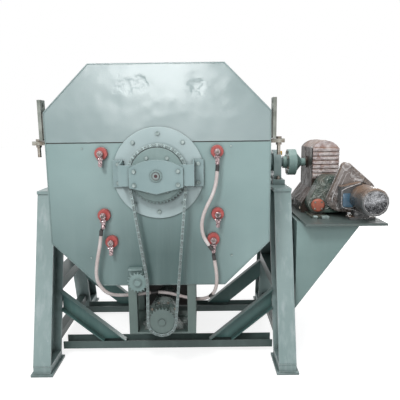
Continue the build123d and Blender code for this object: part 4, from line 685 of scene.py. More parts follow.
def braidMaterial():
    material, tree, shader = newMaterial("cableBraid")
    place = objectPlace(tree)
    strands = []
    for turn in (braid["angle"], -braid["angle"]):
        tilt = addNode(tree, "ShaderNodeMapping")
        tilt.inputs["Rotation"].default_value = (0, turn, 0)
        tree.links.new(place, tilt.inputs["Vector"])
        wave = addNode(tree, "ShaderNodeTexWave", Scale=braid["strandScale"], Distortion=1.5, Detail=2.0)
        tree.links.new(tilt.outputs["Vector"], wave.inputs["Vector"])
        strands.append(wave.outputs["Fac"])
    weave = combine(tree, "MAXIMUM", strands[0], strands[1])
    soiled = addNoise(tree, place, 11.0, 4.0)
    tone = blendColor(tree, ramp(tree, soiled, 0.35, 0.65), braid["strand"], braid["stain"])
    tone = blendColor(tree, weave, braid["gap"], tone)
    wireShader(tree, shader, tone, ramp(tree, weave, 0.0, 1.0, 0.9, 0.65), addBump(tree, weave, 0.5, 0.0015))
    return material


finish["cableBraid"] = braidMaterial()


# Drum steel, with paint on the shaft end and, in its centre, a dark disc painted as the shade of a hole
drumSkin = {
    "steel": {
        "Bright": rgb(0.19, 0.2, 0.195), "Dark": rgb(0.07, 0.072, 0.07), "Scale": 22.0, "Grain": 0.15,
    },
    "shaftEnd": (0, -0.818, axisHeight),
    "spots": [  # tone and radius of the paint, then of the dark disc of painted shade for the hole
        (rgb(0.2, 0.25, 0.245), 0.016), (rgb(0.05, 0.022, 0.024), 0.0085),
    ],
    "fade": 0.0015,
}


def drumMaterial():
    material = skinMaterial("drumShaft", metalSkin, drumSkin["steel"], 1.0, 0.5)
    tree = material.node_tree
    shader = tree.nodes["Principled BSDF"]
    reach = distanceFrom(tree, objectPlace(tree), drumSkin["shaftEnd"])
    tone = shader.inputs["Base Color"].links[0].from_socket
    for spotTone, radius in drumSkin["spots"]:
        inside = ramp(tree, reach, radius + drumSkin["fade"], radius)
        tone = blendColor(tree, inside, tone, spotTone)
    tree.links.new(tone, shader.inputs["Base Color"])
    return material


finish["drumShaft"] = drumMaterial()


# Knocks in the front of the upper sheet
knocks = {
    "places": [  # centre and radius
        ((-0.165, -0.65, 1.72), 0.06), ((-0.095, -0.65, 1.728), 0.045), ((0.215, -0.65, 1.71), 0.05),
    ],
    "strength": 0.15,
    "depth": 0.012,
    "warpScale": 16.0,
    "warp": 0.11,
    "warpMiddle": (0.5, 0.5, 0.5),  # mean of the noise that warps them
}


def addKnocks(name):
    tree = finish[name].node_tree
    shader = tree.nodes["Principled BSDF"]
    under = shader.inputs["Normal"].links[0].from_socket
    bent = warpedPlace(tree, objectPlace(tree), knocks["warpScale"], knocks["warp"])
    dips = []
    for spot, radius in knocks["places"]:
        center = Vector(spot).lerp(Vector(knocks["warpMiddle"]), knocks["warp"])
        dip = addNode(tree, "ShaderNodeMapRange", interpolation_type="SMOOTHSTEP")
        dip.inputs["From Max"].default_value = radius
        tree.links.new(distanceFrom(tree, bent, center), dip.inputs["Value"])
        dips.append(dip.outputs["Result"])
    height = dips[0]
    for dip in dips[1:]:
        height = combine(tree, "ADD", height, dip)
    tree.links.new(addBump(tree, height, knocks["strength"], knocks["depth"], under), shader.inputs["Normal"])


addKnocks("upperPaint")
print("finishes made")

# Which CAD nodes take each finish
nodesByFinish = {
    "casingPaint": ["lower_casing", "left_trunnion", "right_trunnion", "rear_brackets", "door"],
    "upperPaint": ["upper_casing"],
    "flangePaint": ["end_flange"],
    "platePaint": ["bearing_brackets", "bearing_plate"],
    "boltPaint": ["front_bolts", "hub_bolts"],
    "drivePaint": ["front_bearing", "sprocket_hub", "drive_sprocket", "idler_sprocket", "idler_bracket"],
    "chainPaint": ["drive_chain"],
    "sprocketPaint": ["motor_sprocket"],
    "postPaint": ["cradle_posts", "cradle_floor"],
    "legPaint": [
        "left_front_leg", "left_rear_leg", "right_front_leg", "right_rear_leg", "top_plates", "pillow_blocks",
    ],
    "railPaint": ["front_cross_rail", "rear_cross_rail", "side_rails"],
    "bracePaint": ["braces"],
    "bracketPaint": ["drive_bracket"],
    "platformPaint": ["drive_platform"],
    "lugPaint": ["lifting_lugs"],
    "earSteel": ["split_ears"],
    "couplingPaint": ["coupling_inner", "coupling_outer"],
    "fibreLining": ["lower_lining", "upper_lining", "door_plug"],
    "elementAlloy": ["heating_elements"],
    "drumShaft": ["drum"],
    "boltSteel": ["pillow_bolts", "split_bolts", "coupling_bolts"],
    "drumMotorFilm": ["drum_motor"],
    "terminalRed": ["terminal_discs"],
    "clampChrome": ["terminal_clamps"],
    "lugBlack": ["cable_lugs"],
    "housingFilm": ["gearbox_housing"],
    "stageFilm": ["first_stage_case"],
    "orangePaint": ["stage_cap"],
    "barrelFilm": ["tilt_motor"],
    "gearBronze": ["worm_wheel"],
    "shaftSteel": ["worm_shaft", "left_roller", "right_roller", "door_latch"],
    "cupBrass": ["grease_cups"],
}
for name, owners in nodesByFinish.items():
    for owner in owners:
        mesh = nodes[owner].data
        mesh.materials.clear()
        mesh.materials.append(finish[name])
print("CAD nodes finished")


# Mesh helpers
sharpAngle = 38  # degrees between two faces from which their edge stays sharp
frontward = (0, -1, 0)
barSides = 8  # of thin bars of cord and film


# Values spaced evenly from one end to the other
def spaced(start, end, steps):
    return [start + (end - start) * i / steps for i in range(steps + 1)]


# Angles evenly round a circle
def roundAngles(count, shift=0):
    return [2 * math.pi * (i + shift) / count for i in range(count)]


# Point beside an axis that runs from front to back through x and z
def besideAxis(axis, angle, radius, y):
    return Vector((axis[0] + math.cos(angle) * radius, y, axis[1] + math.sin(angle) * radius))


def straightLine(start, end, steps):
    return [start.lerp(end, share) for share in spaced(0, 1, steps)]


def linkObject(name, data, material, body):
    obj = bpy.data.objects.new(name, data)
    bpy.context.scene.collection.objects.link(obj)
    obj.data.materials.append(material)
    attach(obj, body)
    return obj


def addPiece(name, sheet, finishName, body):
    mesh = bpy.data.meshes.new(name)
    bmesh.ops.recalc_face_normals(sheet, faces=sheet.faces)
    sheet.to_mesh(mesh)
    sheet.free()
    mesh.shade_smooth()
    mesh.set_sharp_from_angle(angle=math.radians(sharpAngle))
    return linkObject(name, mesh, finish[finishName], body)


def bridgeRings(sheet, rings, closed=True, capStart=False, capEnd=False):
    loops = [[sheet.verts.new(point) for point in ring] for ring in rings]
    count = len(loops[0])
    spans = count if closed else count - 1
    for first, second in zip(loops, loops[1:]):
        for i in range(spans):
            j = (i + 1) % count
            sheet.faces.new((first[i], first[j], second[j], second[i]))
    if capStart:
        sheet.faces.new(loops[0][::-1])
    if capEnd:
        sheet.faces.new(loops[-1])


# Closed solid through a row of rings
def solidThrough(sheet, rings):
    bridgeRings(sheet, rings, capStart=True, capEnd=True)


def sideAxes(direction):
    direction = Vector(direction).normalized()
    helper = Vector((0, 0, 1)) if abs(direction.z) < 0.9 else Vector((1, 0, 0))
    across = direction.cross(helper).normalized()
    return direction, across, direction.cross(across)


def ringAt(middle, across, up, radius, steps):
    return [
        middle + (across * math.cos(angle) + up * math.sin(angle)) * radius for angle in roundAngles(steps)
    ]


# Turned shape from pairs of radius and distance along the direction
def turned(sheet, place, direction, profile, steps):
    ahead, across, up = sideAxes(direction)
    rings = [ringAt(Vector(place) + ahead * along, across, up, radius, steps) for radius, along in profile]
    solidThrough(sheet, rings)


# Hexagon head or nut with its corners taken off, on a thin washer
headShape = {
    "rings": ((1.0, 0.0), (1.0, 0.82), (0.9, 1.0)),  # shares of the radius and of the height
    "washerShare": 1.18,
    "washerThick": 0.0016,
    "washerSink": 0.0002,
}


def hexHead(sheet, place, direction, radius, height):
    ahead, across, up = sideAxes(direction)
    rings = []
    for share, along in headShape["rings"]:
        rings.append(ringAt(Vector(place) + ahead * height * along, across, up, radius * share, 6))
    solidThrough(sheet, rings)
    washer = radius * headShape["washerShare"]
    foot = Vector(place) - ahead * headShape["washerSink"]
    turned(sheet, foot, direction, [(washer, 0), (washer, headShape["washerThick"])], 20)


# Round bar of changing radius along a line of points
def tube(sheet, points, radii, sides):
    rings = []
    across = sideAxes(points[1] - points[0])[1]
    for i, point in enumerate(points):
        ahead = (points[min(i + 1, len(points) - 1)] - points[max(i - 1, 0)]).normalized()
        across = (across - ahead * across.dot(ahead)).normalized()
        rings.append(ringAt(point, across, ahead.cross(across), radii[i], sides))
    solidThrough(sheet, rings)


# Rippled weld bead along a line of corners
beadShape = {
    "thin": 0.78,  # shares of the bead's radius
    "swell": 0.22,
    "uneven": 0.1,
    "unevenScale": 90,
    "rippleSteps": 4,
    "sides": 6,
}


def weldBead(sheet, corners, radius, ripple):
    corners = [Vector(corner) for corner in corners]
    steps = beadShape["rippleSteps"]
    for start, end in zip(corners, corners[1:]):
        count = max(steps, int((end - start).length / ripple * steps))
        points = straightLine(start, end, count)
        radii = []
        for i, point in enumerate(points):
            swell = beadShape["swell"] * abs(math.sin(math.pi * i / steps))
            uneven = beadShape["uneven"] * noise.noise(point * beadShape["unevenScale"])
            radii.append(radius * (beadShape["thin"] + swell + uneven))
        tube(sheet, points, radii, beadShape["sides"])


# How far a crease of the film stands out at a place
creaseNoise = (0.9, 2.1, 4)  # smoothness, step in scale and octaves


def crease(place, scale, depth):
    return noise.fractal(place * scale, *creaseNoise) * depth


# Uneven radii of a torn or gathered edge of film
def gathered(points, thin, swell, scale):
    return [thin + swell * abs(noise.noise(point * scale)) for point in points]


# The film over the gearbox lid, the bell and the barrel gets the thickness of the real sheet
filmThick = 0.0006


def thicken(film):
    skin = film.modifiers.new("skin", "SOLIDIFY")
    skin.thickness = filmThick
    skin.offset = 1.0


# Cables between the terminals: smooth splines along their routes, with black tape
cables = {
    "radius": 0.01,
    "upperRoute": [
        (0.323, -0.707, 1.258), (0.320, -0.707, 1.212), (0.309, -0.711, 1.162), (0.290, -0.714, 1.112),
        (0.264, -0.716, 1.064), (0.244, -0.716, 1.014), (0.235, -0.714, 0.962), (0.240, -0.711, 0.912),
        (0.254, -0.707, 0.874), (0.275, -0.707, 0.844),
    ],
    "lowerRoute": [
        (-0.325, -0.707, 0.905), (-0.331, -0.707, 0.858), (-0.345, -0.709, 0.792), (-0.359, -0.707, 0.724),
        (-0.364, -0.701, 0.658), (-0.350, -0.688, 0.605), (-0.315, -0.665, 0.552), (-0.268, -0.618, 0.521),
        (-0.214, -0.573, 0.505), (-0.155, -0.552, 0.501), (-0.095, -0.548, 0.507), (-0.035, -0.548, 0.512),
        (0.025, -0.549, 0.508), (0.080, -0.550, 0.494), (0.135, -0.552, 0.478), (0.188, -0.556, 0.470),
        (0.238, -0.580, 0.479), (0.276, -0.622, 0.507), (0.303, -0.662, 0.548), (0.316, -0.690, 0.600),
        (0.318, -0.703, 0.655), (0.313, -0.707, 0.710), (0.305, -0.707, 0.758),
    ],
    "upperLength": 0.439,
    "lowerLength": 1.328,
    "tapeProud": 0.0008,
    "tapeUneven": (0.5, 2.1),  # share and angle from step to step
    "tapeSteps": 16,
    "lowerTapes": [(0.468, 0.503), (0.795, 0.825)],  # shares of the length
}


# Points along the quadratic spline that runs through the middles of a route's spans
def splinePoints(route, steps):
    route = [Vector(point) for point in route]
    line = []
    for i in range(len(route) - 2):
        start = route[0] if i == 0 else (route[i] + route[i + 1]) / 2
        end = route[-1] if i == len(route) - 3 else (route[i + 1] + route[i + 2]) / 2
        for k in range(steps):
            t = k / steps
            line.append(start * (1 - t) ** 2 + route[i + 1] * 2 * t * (1 - t) + end * t ** 2)
    line.append(route[-1])
    return line


def tapeWraps(name, route, shares):
    line = splinePoints(route, cables["tapeSteps"])
    uneven, turn = cables["tapeUneven"]
    sheet = bmesh.new()
    last = len(line) - 1
    for start, end in shares:
        points = line[round(start * last):round(end * last) + 1]
        radii = []
        for i in range(len(points)):  # the turns of the tape lie unevenly
            radii.append(cables["radius"] + cables["tapeProud"] * (1 + uneven * math.sin(i * turn)))
        tube(sheet, points, radii, 20)
    return addPiece(name, sheet, "lugBlack", "furnace")


def addCable(name, node, route):
    curve = bpy.data.curves.new(name, "CURVE")
    curve.dimensions = "3D"
    spline = curve.splines.new("NURBS")
    spline.points.add(len(route) - 1)
    for point, place in zip(spline.points, route):
        point.co = (*place, 1)
    spline.order_u = 3
    spline.use_endpoint_u = True
    spline.resolution_u = 8
    curve.bevel_depth = cables["radius"]
    curve.bevel_resolution = 4
    curve.use_fill_caps = True
    cable = linkObject(name, curve, finish["cableBraid"], "furnace")
    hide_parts(node)


lowerTape = tapeWraps("lowerTape", cables["lowerRoute"], cables["lowerTapes"])
addCable("upperCable", "upper_cable", cables["upperRoute"])
addCable(
    "lowerCable", "lower_cable", cables["lowerRoute"]
)
print("cables laid")

# Near-black cord in the gap between the casing halves, painted shade of the gap
seam = {
    "height": 1.415,
    "halfWidth": 0.6205,
    "halfDepth": 0.6483,
    "radius": 0.0034,
    "steps": 90,
    "wander": 0.0006,
    "wanderScale": 30,
}


def addSeam():
    sheet = bmesh.new()
    wide, gapShade, steps = seam["halfWidth"], seam["halfDepth"], seam["steps"]
    corners = [(-wide, -gapShade), (wide, -gapShade), (wide, gapShade), (-wide, gapShade)]
    for first, second in zip(corners, corners[1:] + corners[:1]):
        points = straightLine(Vector((*first, seam["height"])), Vector((*second, seam["height"])), steps)
        for point in points[1:-1]:
            point.z += noise.noise(point * seam["wanderScale"]) * seam["wander"]
        tube(sheet, points, [seam["radius"]] * len(points), barSides)
    addPiece("seamShadeCord", sheet, "gapShadeCord", "furnace")


addSeam()
print("seam packed")

# Rings, nuts, washers and screws on the element clamps, and the elements' ends
terminals = {
    "places": [
        (-0.312, 1.357), (-0.311, 1.013), (-0.275, 0.859), (0.325, 1.362), (0.326, 1.014), (0.301, 0.869),
    ],
    "clampFront": -0.696,
    "clampRing": [(0.0142, 0.0), (0.0175, 0.0), (0.0175, 0.004), (0.016, 0.006), (0.0142, 0.006)],
    "tipFront": -0.7095,
    "tip": [(0.0098, 0.0), (0.0098, 0.0016), (0.0086, 0.0026), (0.003, 0.003), (0.0018, 0.001)],
    "crossDrop": 0.028,
    "crossFront": -0.701,
    "crossHalf": 0.0165,
    "crossRadius": 0.0042,
    "crossNutOut": 0.0115,
    "crossNut": (0.0068, 0.0052),  # radius and height
    "tongues": (0, 1, 0, 1, 0, 2),  # cable tongues under each screw
    "tonguePitch": 0.0031,
    "screwDrop": 0.061,
    "screwHeight": 0.005,
    "screwNut": (0.0098, 0.006),
    "screwEnd": [(0.0045, 0.0), (0.0045, 0.004), (0.0035, 0.0052), (0.0005, 0.0054)],
}


def addCrossScrew(sheet, x, z):
    half, radius = terminals["crossHalf"], terminals["crossRadius"]
    front = terminals["crossFront"]
    turned(sheet, (x - half, front, z), (1, 0, 0), [(radius, 0.0), (radius, 2 * half)], 14)
    for side in (-1, 1):
        hexHead(sheet, (x + side * terminals["crossNutOut"], front, z), (side, 0, 0), *terminals["crossNut"])


def addCableScrew(sheet, x, z, tongues):
    front = terminals["clampFront"] - tongues * terminals["tonguePitch"] - terminals["screwHeight"]
    radius, height = terminals["screwNut"]
    hexHead(sheet, (x, front, z), frontward, radius, height)
    turned(sheet, (x, front - height, z), frontward, terminals["screwEnd"], 14)


def addTerminals():
    sheet = bmesh.new()
    tips = bmesh.new()
    for (x, z), tongues in zip(terminals["places"], terminals["tongues"]):
        turned(sheet, (x, terminals["clampFront"], z), frontward, terminals["clampRing"], 28)
        turned(tips, (x, terminals["tipFront"], z), frontward, terminals["tip"], 24)
        addCrossScrew(sheet, x, z - terminals["crossDrop"])
        addCableScrew(sheet, x, z - terminals["screwDrop"], tongues)
    addPiece("terminalNuts", sheet, "clampChrome", "furnace")
    addPiece("elementTips", tips, "elementAlloy", "furnace")


addTerminals()
print("terminals dressed")

# Weld beads: casing corners front and rear, tops of the cradle posts, shoes of the legs
welds = {
    "casingCorners": [
        (0.6225, 0.848), (0.6225, 1.582), (0.3675, 1.837), (-0.3675, 1.837), (-0.6225, 1.582),
        (-0.6225, 0.848), (-0.3675, 0.593), (0.3675, 0.593),
    ],
    "casingInset": 0.992,
    "casingFace": 0.6502,
    "casingBead": (0.0022, 0.009),  # radius and ripple
    "postSides": (0.147, 0.196),
    "postEdges": (-0.6505, -0.5895, -0.3305, -0.2695),
    "postTop": 0.5925,
    "postBead": (0.003, 0.006),
    "legSides": (0.6965, 0.8035),
    "footEdge": 0.606,
    "footHeights": (0.062, 0.0165),
    "footBead": (0.0035, 0.008),
}


def addCasingWelds():
    sheet = bmesh.new()
    middle = Vector((0, axisHeight))
    for side in (-1, 1):
        line = []
        for corner in welds["casingCorners"] + welds["casingCorners"][:1]:
            x, z = middle + (Vector(corner) - middle) * welds["casingInset"]
            line.append((x, side * welds["casingFace"], z))
        weldBead(sheet, line, *welds["casingBead"])
    addPiece("casingWelds", sheet, "casingPaint", "furnace")


def addPostWelds():
    sheet = bmesh.new()
    inner, outer = welds["postSides"]
    top = welds["postTop"]
    for side in (-1, 1):
        for y in welds["postEdges"]:
            weldBead(sheet, [(side * inner, y, top), (side * outer, y, top)], *welds["postBead"])
    addPiece("postWelds", sheet, "postPaint", "furnace")


def addFootWelds():
    sheet = bmesh.new()
    inner, outer = welds["legSides"]
    for side in (-1, 1):
        for y in (-welds["footEdge"], welds["footEdge"]):
            for z in welds["footHeights"]:
                weldBead(sheet, [(side * inner, y, z), (side * outer, y, z)], *welds["footBead"])
    addPiece("footWelds", sheet, "legPaint", "stand")


addCasingWelds()
addPostWelds()
addFootWelds()
print("welds laid")

# Drum motor: cooling fins, flange bolts and film gathered round its head
drumMotor = {
    "axis": (0.004, 0.402),
    "finInner": 0.0635,
    "finOuter": 0.0705,
    "finCount": 30,
    "finThick": 0.0022,
    "finTipShare": 0.5,
    "finSpans": [(-0.552, -0.489), (-0.473, -0.322)],
    "stemBelow": -0.55,  # no fins where the stem and foot stand
    "boltRing": 0.073,
    "boltCount": 8,
    "boltFace": -0.614,
    "boltHead": (0.007, 0.005),
    "filmArcs": [  # radius, degrees at both ends and thickness
        (0.08, 30, 150, 0.003), (0.064, 60, 140, 0.0044), (0.071, 110, 172, 0.0026),
    ],
    "filmFace": -0.6146,
    "filmWander": 0.003,
    "filmNoise": (0.2, 90, 4),  # steps along and out, and a row of its own
    "filmGather": (0.4, 1.3, 70),  # thin and swollen share, and scale
    "filmSteps": 40,
}


def addMotorFins():
    sheet = bmesh.new()
    axis = drumMotor["axis"]
    for span in drumMotor["finSpans"]:
        for angle in roundAngles(drumMotor["finCount"]):
            if math.sin(angle) < drumMotor["stemBelow"]:
                continue
            across = Vector((-math.sin(angle), 0, math.cos(angle))) * drumMotor["finThick"] / 2
            narrow = across * drumMotor["finTipShare"]
            rings = []
            for y in span:
                foot = besideAxis(axis, angle, drumMotor["finInner"], y)
                tip = besideAxis(axis, angle, drumMotor["finOuter"], y)
                rings.append([foot - across, tip - narrow, tip + narrow, foot + across])
            solidThrough(sheet, rings)
    addPiece("motorFins", sheet, "drumMotorFilm", "furnace")


def addMotorBolts():
    sheet = bmesh.new()
    for angle in roundAngles(drumMotor["boltCount"], 0.5):
        place = besideAxis(drumMotor["axis"], angle, drumMotor["boltRing"], drumMotor["boltFace"])
        hexHead(sheet, place, frontward, *drumMotor["boltHead"])
    addPiece("motorFlangeBolts", sheet, "boltSteel", "furnace")


def addHeadFilm():
    sheet = bmesh.new()
    along, out, row = drumMotor["filmNoise"]
    thin, swell, scale = drumMotor["filmGather"]
    for radius, start, end, thick in drumMotor["filmArcs"]:
        line = []
        for i, degrees in enumerate(spaced(start, end, drumMotor["filmSteps"])):
            reach = radius + drumMotor["filmWander"] * noise.noise(Vector((i * along, radius * out, row)))
            line.append(besideAxis(drumMotor["axis"], math.radians(degrees), reach, drumMotor["filmFace"]))
        tube(sheet, line, gathered(line, thick * thin, thick * swell, scale), barSides)
    addPiece("headFilm", sheet, "drumMotorFilm", "furnace")


addMotorFins()
addMotorBolts()
addHeadFilm()
print("drum motor dressed")

# Dark rings round the chain's pins, painted shade between the links, placed by the pin ends of the CAD chain
chainPins = {
    "pinFront": -0.7378,  # only the pins' ends lie farther out
    "pinReach": 0.0075,
    "plateFront": -0.7362,
    "inner": 0.0031,
    "outer": 0.0054,
    "height": 0.0009,
    "bevel": 0.0006,
}


def pinPlaces():
    groups = []
    for vertex in nodes["drive_chain"].data.vertices:
        place = vertex.co
        if place.y > chainPins["pinFront"]:
            continue
        owner = next((group for group in groups if (group[0] - place).length < chainPins["pinReach"]), None)
        if owner is None:
            groups.append([place.copy()])
        else:
            owner.append(place.copy())
    return [sum(group, Vector()) / len(group) for group in groups]


def addChainShadeRings():
    sheet = bmesh.new()
    inner, outer, height = chainPins["inner"], chainPins["outer"], chainPins["height"]
    profile = [(inner, 0.0), (outer, 0.0), (outer - chainPins["bevel"], height), (inner, height)]
    for place in pinPlaces():
        turned(sheet, (place.x, chainPins["plateFront"], place.z), frontward, profile, 14)
    # painted shade: dark rings between the lighter link plates
    addPiece("chainShadeRings", sheet, "lugBlack", "furnace")


addChainShadeRings()
print("chain greased")

# Folded near-black sheet that closes the cradle behind the drum motor, painted shade of the cradle's inside
shadeSheet = {
    "halfWidth": 0.19,
    "fold": 0.006,
    "foldShare": 0.3,
    "front": -0.2705,
    "face": -0.2585,
    "thick": 0.0025,
    "low": 0.306,
    "high": 0.588,
    "screws": (0.34, 0.45, 0.56),
    "screwInset": 0.018,
    "screwHead": (0.007, 0.0045),
}


def addShadeSheet():
    sheet = bmesh.new()
    half, fold = shadeSheet["halfWidth"], shadeSheet["fold"]
    face, front, thick = shadeSheet["face"], shadeSheet["front"], shadeSheet["thick"]
    bend = fold * shadeSheet["foldShare"]
    line = [
        (-half, front), (-half, face - fold), (-half + bend, face - bend), (-half + fold, face),
        (half - fold, face), (half - bend, face - bend), (half, face - fold), (half, front),
        (half - thick, front), (half - thick, face - fold), (half - fold, face - thick),
        (-half + fold, face - thick), (-half + thick, face - fold), (-half + thick, front),
    ]
    # painted shade: the sheet is near black to stand for the shade behind the drum motor
    solidThrough(sheet, [[(x, y, z) for x, y in line] for z in (shadeSheet["low"], shadeSheet["high"])])
    addPiece("shadeSheet", sheet, "shadeSheetDark", "furnace")
    screws = bmesh.new()
    for side in (-1, 1):
        x = side * (half - shadeSheet["screwInset"])
        for z in shadeSheet["screws"]:
            hexHead(screws, (x, face, z), (0, 1, 0), *shadeSheet["screwHead"])
    addPiece("backScrews", screws, "boltSteel", "furnace")


addShadeSheet()
print("cradle closed")

# Film drawn over the gearbox lid and its front ribs
lidFilm = {
    "axisX": 1.06,
    "halfWidth": 0.0865,
    "lidTop": 1.394,
    "lidRadius": 0.10244,
    "proud": 0.0012,
    "back": 0.12,
    "front": -0.1625,
    "drop": 0.002,
    "lipLow": 0.014,  # above the topmost rib
    "lipHigh": 0.03,
    "lipDepth": 0.004,
    "ribFront": -0.1772,
    "ribTop": 1.338,
    "ribPitch": 0.028,
    "ribHalf": 0.0078,
    "ribEdge": 0.0062,
    "sag": 0.0072,
    "bottom": 1.152,
    "topCrease": (26, 0.0045),  # scale and depth
    "frontCrease": (34, 0.0032),
    "topFade": 6,  # power by which the top's creases end at the front
    "frontStretch": 0.6,
    "frontRow": 3.0,
    "acrossSteps": 44,
    "topSteps": 26,
    "frontSteps": 96,
}


def smoothStep(value):
    value = max(0.0, min(1.0, value))
    return value * value * (3 - 2 * value)


def lidHeight(x):
    lidMiddle = lidFilm["lidTop"] - lidFilm["lidRadius"]
    return lidMiddle + math.sqrt(lidFilm["lidRadius"] ** 2 - (x - lidFilm["axisX"]) ** 2)


# The film hangs from the lid's edge, then dips into each gap between the ribs
def ribFilmDepth(z):
    low, high = lidFilm["ribTop"] + lidFilm["lipLow"], lidFilm["ribTop"] + lidFilm["lipHigh"]
    if z > low:
        return lidFilm["front"] - smoothStep((high - z) / (high - low)) * lidFilm["lipDepth"]
    step = (z - lidFilm["ribTop"] + lidFilm["ribPitch"] / 2) % lidFilm["ribPitch"]
    away = abs(step - lidFilm["ribPitch"] / 2)
    return lidFilm["ribFront"] + lidFilm["sag"] * smoothStep((away - lidFilm["ribHalf"]) / lidFilm["ribEdge"])


def lidFilmTop(x, share):
    top = lidHeight(x) + lidFilm["proud"]
    y = lidFilm["back"] + (lidFilm["front"] - lidFilm["back"]) * share
    bulge = abs(crease(Vector((x, y, top)), *lidFilm["topCrease"]))
    return (x, y, top + bulge * (1 - share ** lidFilm["topFade"]))


def lidFilmFront(x, share):
    top = lidHeight(x) + lidFilm["proud"]
    z = top - lidFilm["drop"] - (top - lidFilm["bottom"]) * share
    place = Vector((x * lidFilm["frontStretch"], lidFilm["frontRow"], z))
    bulge = abs(crease(place, *lidFilm["frontCrease"]))
    return (x, ribFilmDepth(z) - bulge, z)


def addLidFilm():
    sheet = bmesh.new()
    width, steps = lidFilm["halfWidth"], lidFilm["acrossSteps"]
    across = [lidFilm["axisX"] - width + 2 * width * k / steps for k in range(steps + 1)]
    rings = []
    for share in spaced(0, 1, lidFilm["topSteps"]):
        rings.append([lidFilmTop(x, share) for x in across])
    for share in spaced(0, 1, lidFilm["frontSteps"])[1:]:
        rings.append([lidFilmFront(x, share) for x in across])
    bridgeRings(sheet, rings, closed=False)
    thicken(addPiece("lidFilm", sheet, "ribFilm", "stand"))


addLidFilm()

# Film over the bell of the tilt motor, down to its barrel and along it
motorFilm = {
    "axis": (1.226, 1.056),
    "bellCircles": [((1.226, 1.056), 0.108), ((1.146, 1.236), 0.024), ((1.1, 1.025), 0.06)],
    "bellSpan": (-0.284, -0.3425),
    "bellSteps": 12,
    "bellProud": 0.0014,
    "bellCrease": (24, 0.006),  # scale and depth
    "funnelEnd": -0.358,
    "funnelSteps": 10,
    "funnelEase": 0.7,
    "funnelShare": 0.97,
    "funnelCrease": (30, 0.004),
    "funnelLift": 1.5,
    "barrelRadius": 0.079,
    "barrelSpan": (-0.356, -0.608),
    "barrelSteps": 40,
    "barrelProud": 0.0012,
    "barrelCrease": (22, 0.0034),
    "endRings": ((0.35, -0.614), (0.75, -0.6185), (1.0, -0.6215)),
    "endDraw": 0.013,
    "endCrease": (60, 0.003),
    "creaseStretch": 0.45,  # from front to back
    "rightLimit": 1.337,
    "steps": 132,
}


def bellPoint(angle):
    out = Vector((math.cos(angle), math.sin(angle)))
    place, radius = max(motorFilm["bellCircles"], key=lambda circle: Vector(circle[0]).dot(out) + circle[1])
    return Vector(place) + out * radius, out


# Ring of film at one depth: share 0 lies on the bell and share 1 on the barrel
def filmRing(y, share, proud, fineness, depth, lift=0.0):
    ring = []
    middle = Vector(motorFilm["axis"])
    for angle in roundAngles(motorFilm["steps"]):
        outer, out = bellPoint(angle)
        inner = middle + out * motorFilm["barrelRadius"]
        flat = outer.lerp(inner, share) + out * proud
        fold = abs(crease(Vector((flat.x, y * motorFilm["creaseStretch"], flat.y)), fineness, depth))
        flat += out * fold
        ring.append((min(flat.x, motorFilm["rightLimit"]), y - lift * fold, flat.y))
    return ring


def addBellFilm():
    sheet = bmesh.new()
    rings = []
    back, front = motorFilm["bellSpan"]
    for y in spaced(back, front, motorFilm["bellSteps"]):
        rings.append(filmRing(y, 0.0, motorFilm["bellProud"], *motorFilm["bellCrease"]))
    for way in spaced(0, 1, motorFilm["funnelSteps"])[1:]:
        y = front + (motorFilm["funnelEnd"] - front) * way ** motorFilm["funnelEase"]
        rings.append(filmRing(
            y, way * motorFilm["funnelShare"], motorFilm["bellProud"], *motorFilm["funnelCrease"],
            motorFilm["funnelLift"],
        ))
    bridgeRings(sheet, rings)
    thicken(addPiece("bellFilm", sheet, "bellFilm", "stand"))


def addBarrelFilm():
    sheet = bmesh.new()
    rings = []
    back, front = motorFilm["barrelSpan"]
    proud = motorFilm["barrelProud"]
    for y in spaced(back, front, motorFilm["barrelSteps"]):
        rings.append(filmRing(y, 1.0, proud, *motorFilm["barrelCrease"]))
    for share, y in motorFilm["endRings"]:
        rings.append(filmRing(y, 1.0, proud - motorFilm["endDraw"] * share, *motorFilm["endCrease"]))
    bridgeRings(sheet, rings)
    thicken(addPiece("barrelFilm", sheet, "barrelFilm", "stand"))


# Crumpled foil on the barrel's end, with a gathered rim
cowlFoil = {
    "face": -0.6208,
    "edge": 0.0665,
    "radii": (0.0665, 0.0655, 0.062, 0.057, 0.051, 0.045, 0.038, 0.031, 0.024, 0.017, 0.01, 0.003),
    "steps": 84,
    "crumple": 0.006,
    "crumpleScale": 70,
    "crumpleRow": 7.0,
    "crumpleNoise": (0.8, 2.2, 5),  # smoothness, step in scale and octaves
    "rimFace": -0.621,
    "rimSteps": 96,
    "rimWander": 0.0012,
    "rimRow": 2,
    "rimScale": 6,
    "rimFineness": 45,
    "rimThin": 0.0011,
    "rimSwell": 0.0026,
}


def addCowlFoil():
    sheet = bmesh.new()
    axis = motorFilm["axis"]
    rings = []
    for radius in cowlFoil["radii"]:
        ring = []
        for angle in roundAngles(cowlFoil["steps"]):
            point = besideAxis(axis, angle, radius, cowlFoil["crumpleRow"])
            rise = abs(noise.fractal(point * cowlFoil["crumpleScale"], *cowlFoil["crumpleNoise"]))
            rise *= cowlFoil["crumple"]
            point.y = cowlFoil["face"] - (0.0 if radius == cowlFoil["edge"] else rise)
            ring.append(point)
        rings.append(ring)
    bridgeRings(sheet, rings, capEnd=True)
    addPiece("cowlFoil", sheet, "cowlFoil", "stand")
    rim = bmesh.new()
    line = []
    for angle in spaced(0, 2 * math.pi, cowlFoil["rimSteps"]):
        place = Vector((math.cos(angle), math.sin(angle), cowlFoil["rimRow"]))
        sway = noise.noise(place * cowlFoil["rimScale"])
        radius = cowlFoil["edge"] + cowlFoil["rimWander"] * sway
        line.append(besideAxis(axis, angle, radius, cowlFoil["rimFace"]))
    radii = gathered(line, cowlFoil["rimThin"], cowlFoil["rimSwell"], cowlFoil["rimFineness"])
    tube(rim, line, radii, barSides)
    addPiece("foilRim", rim, "filmEdge", "stand")


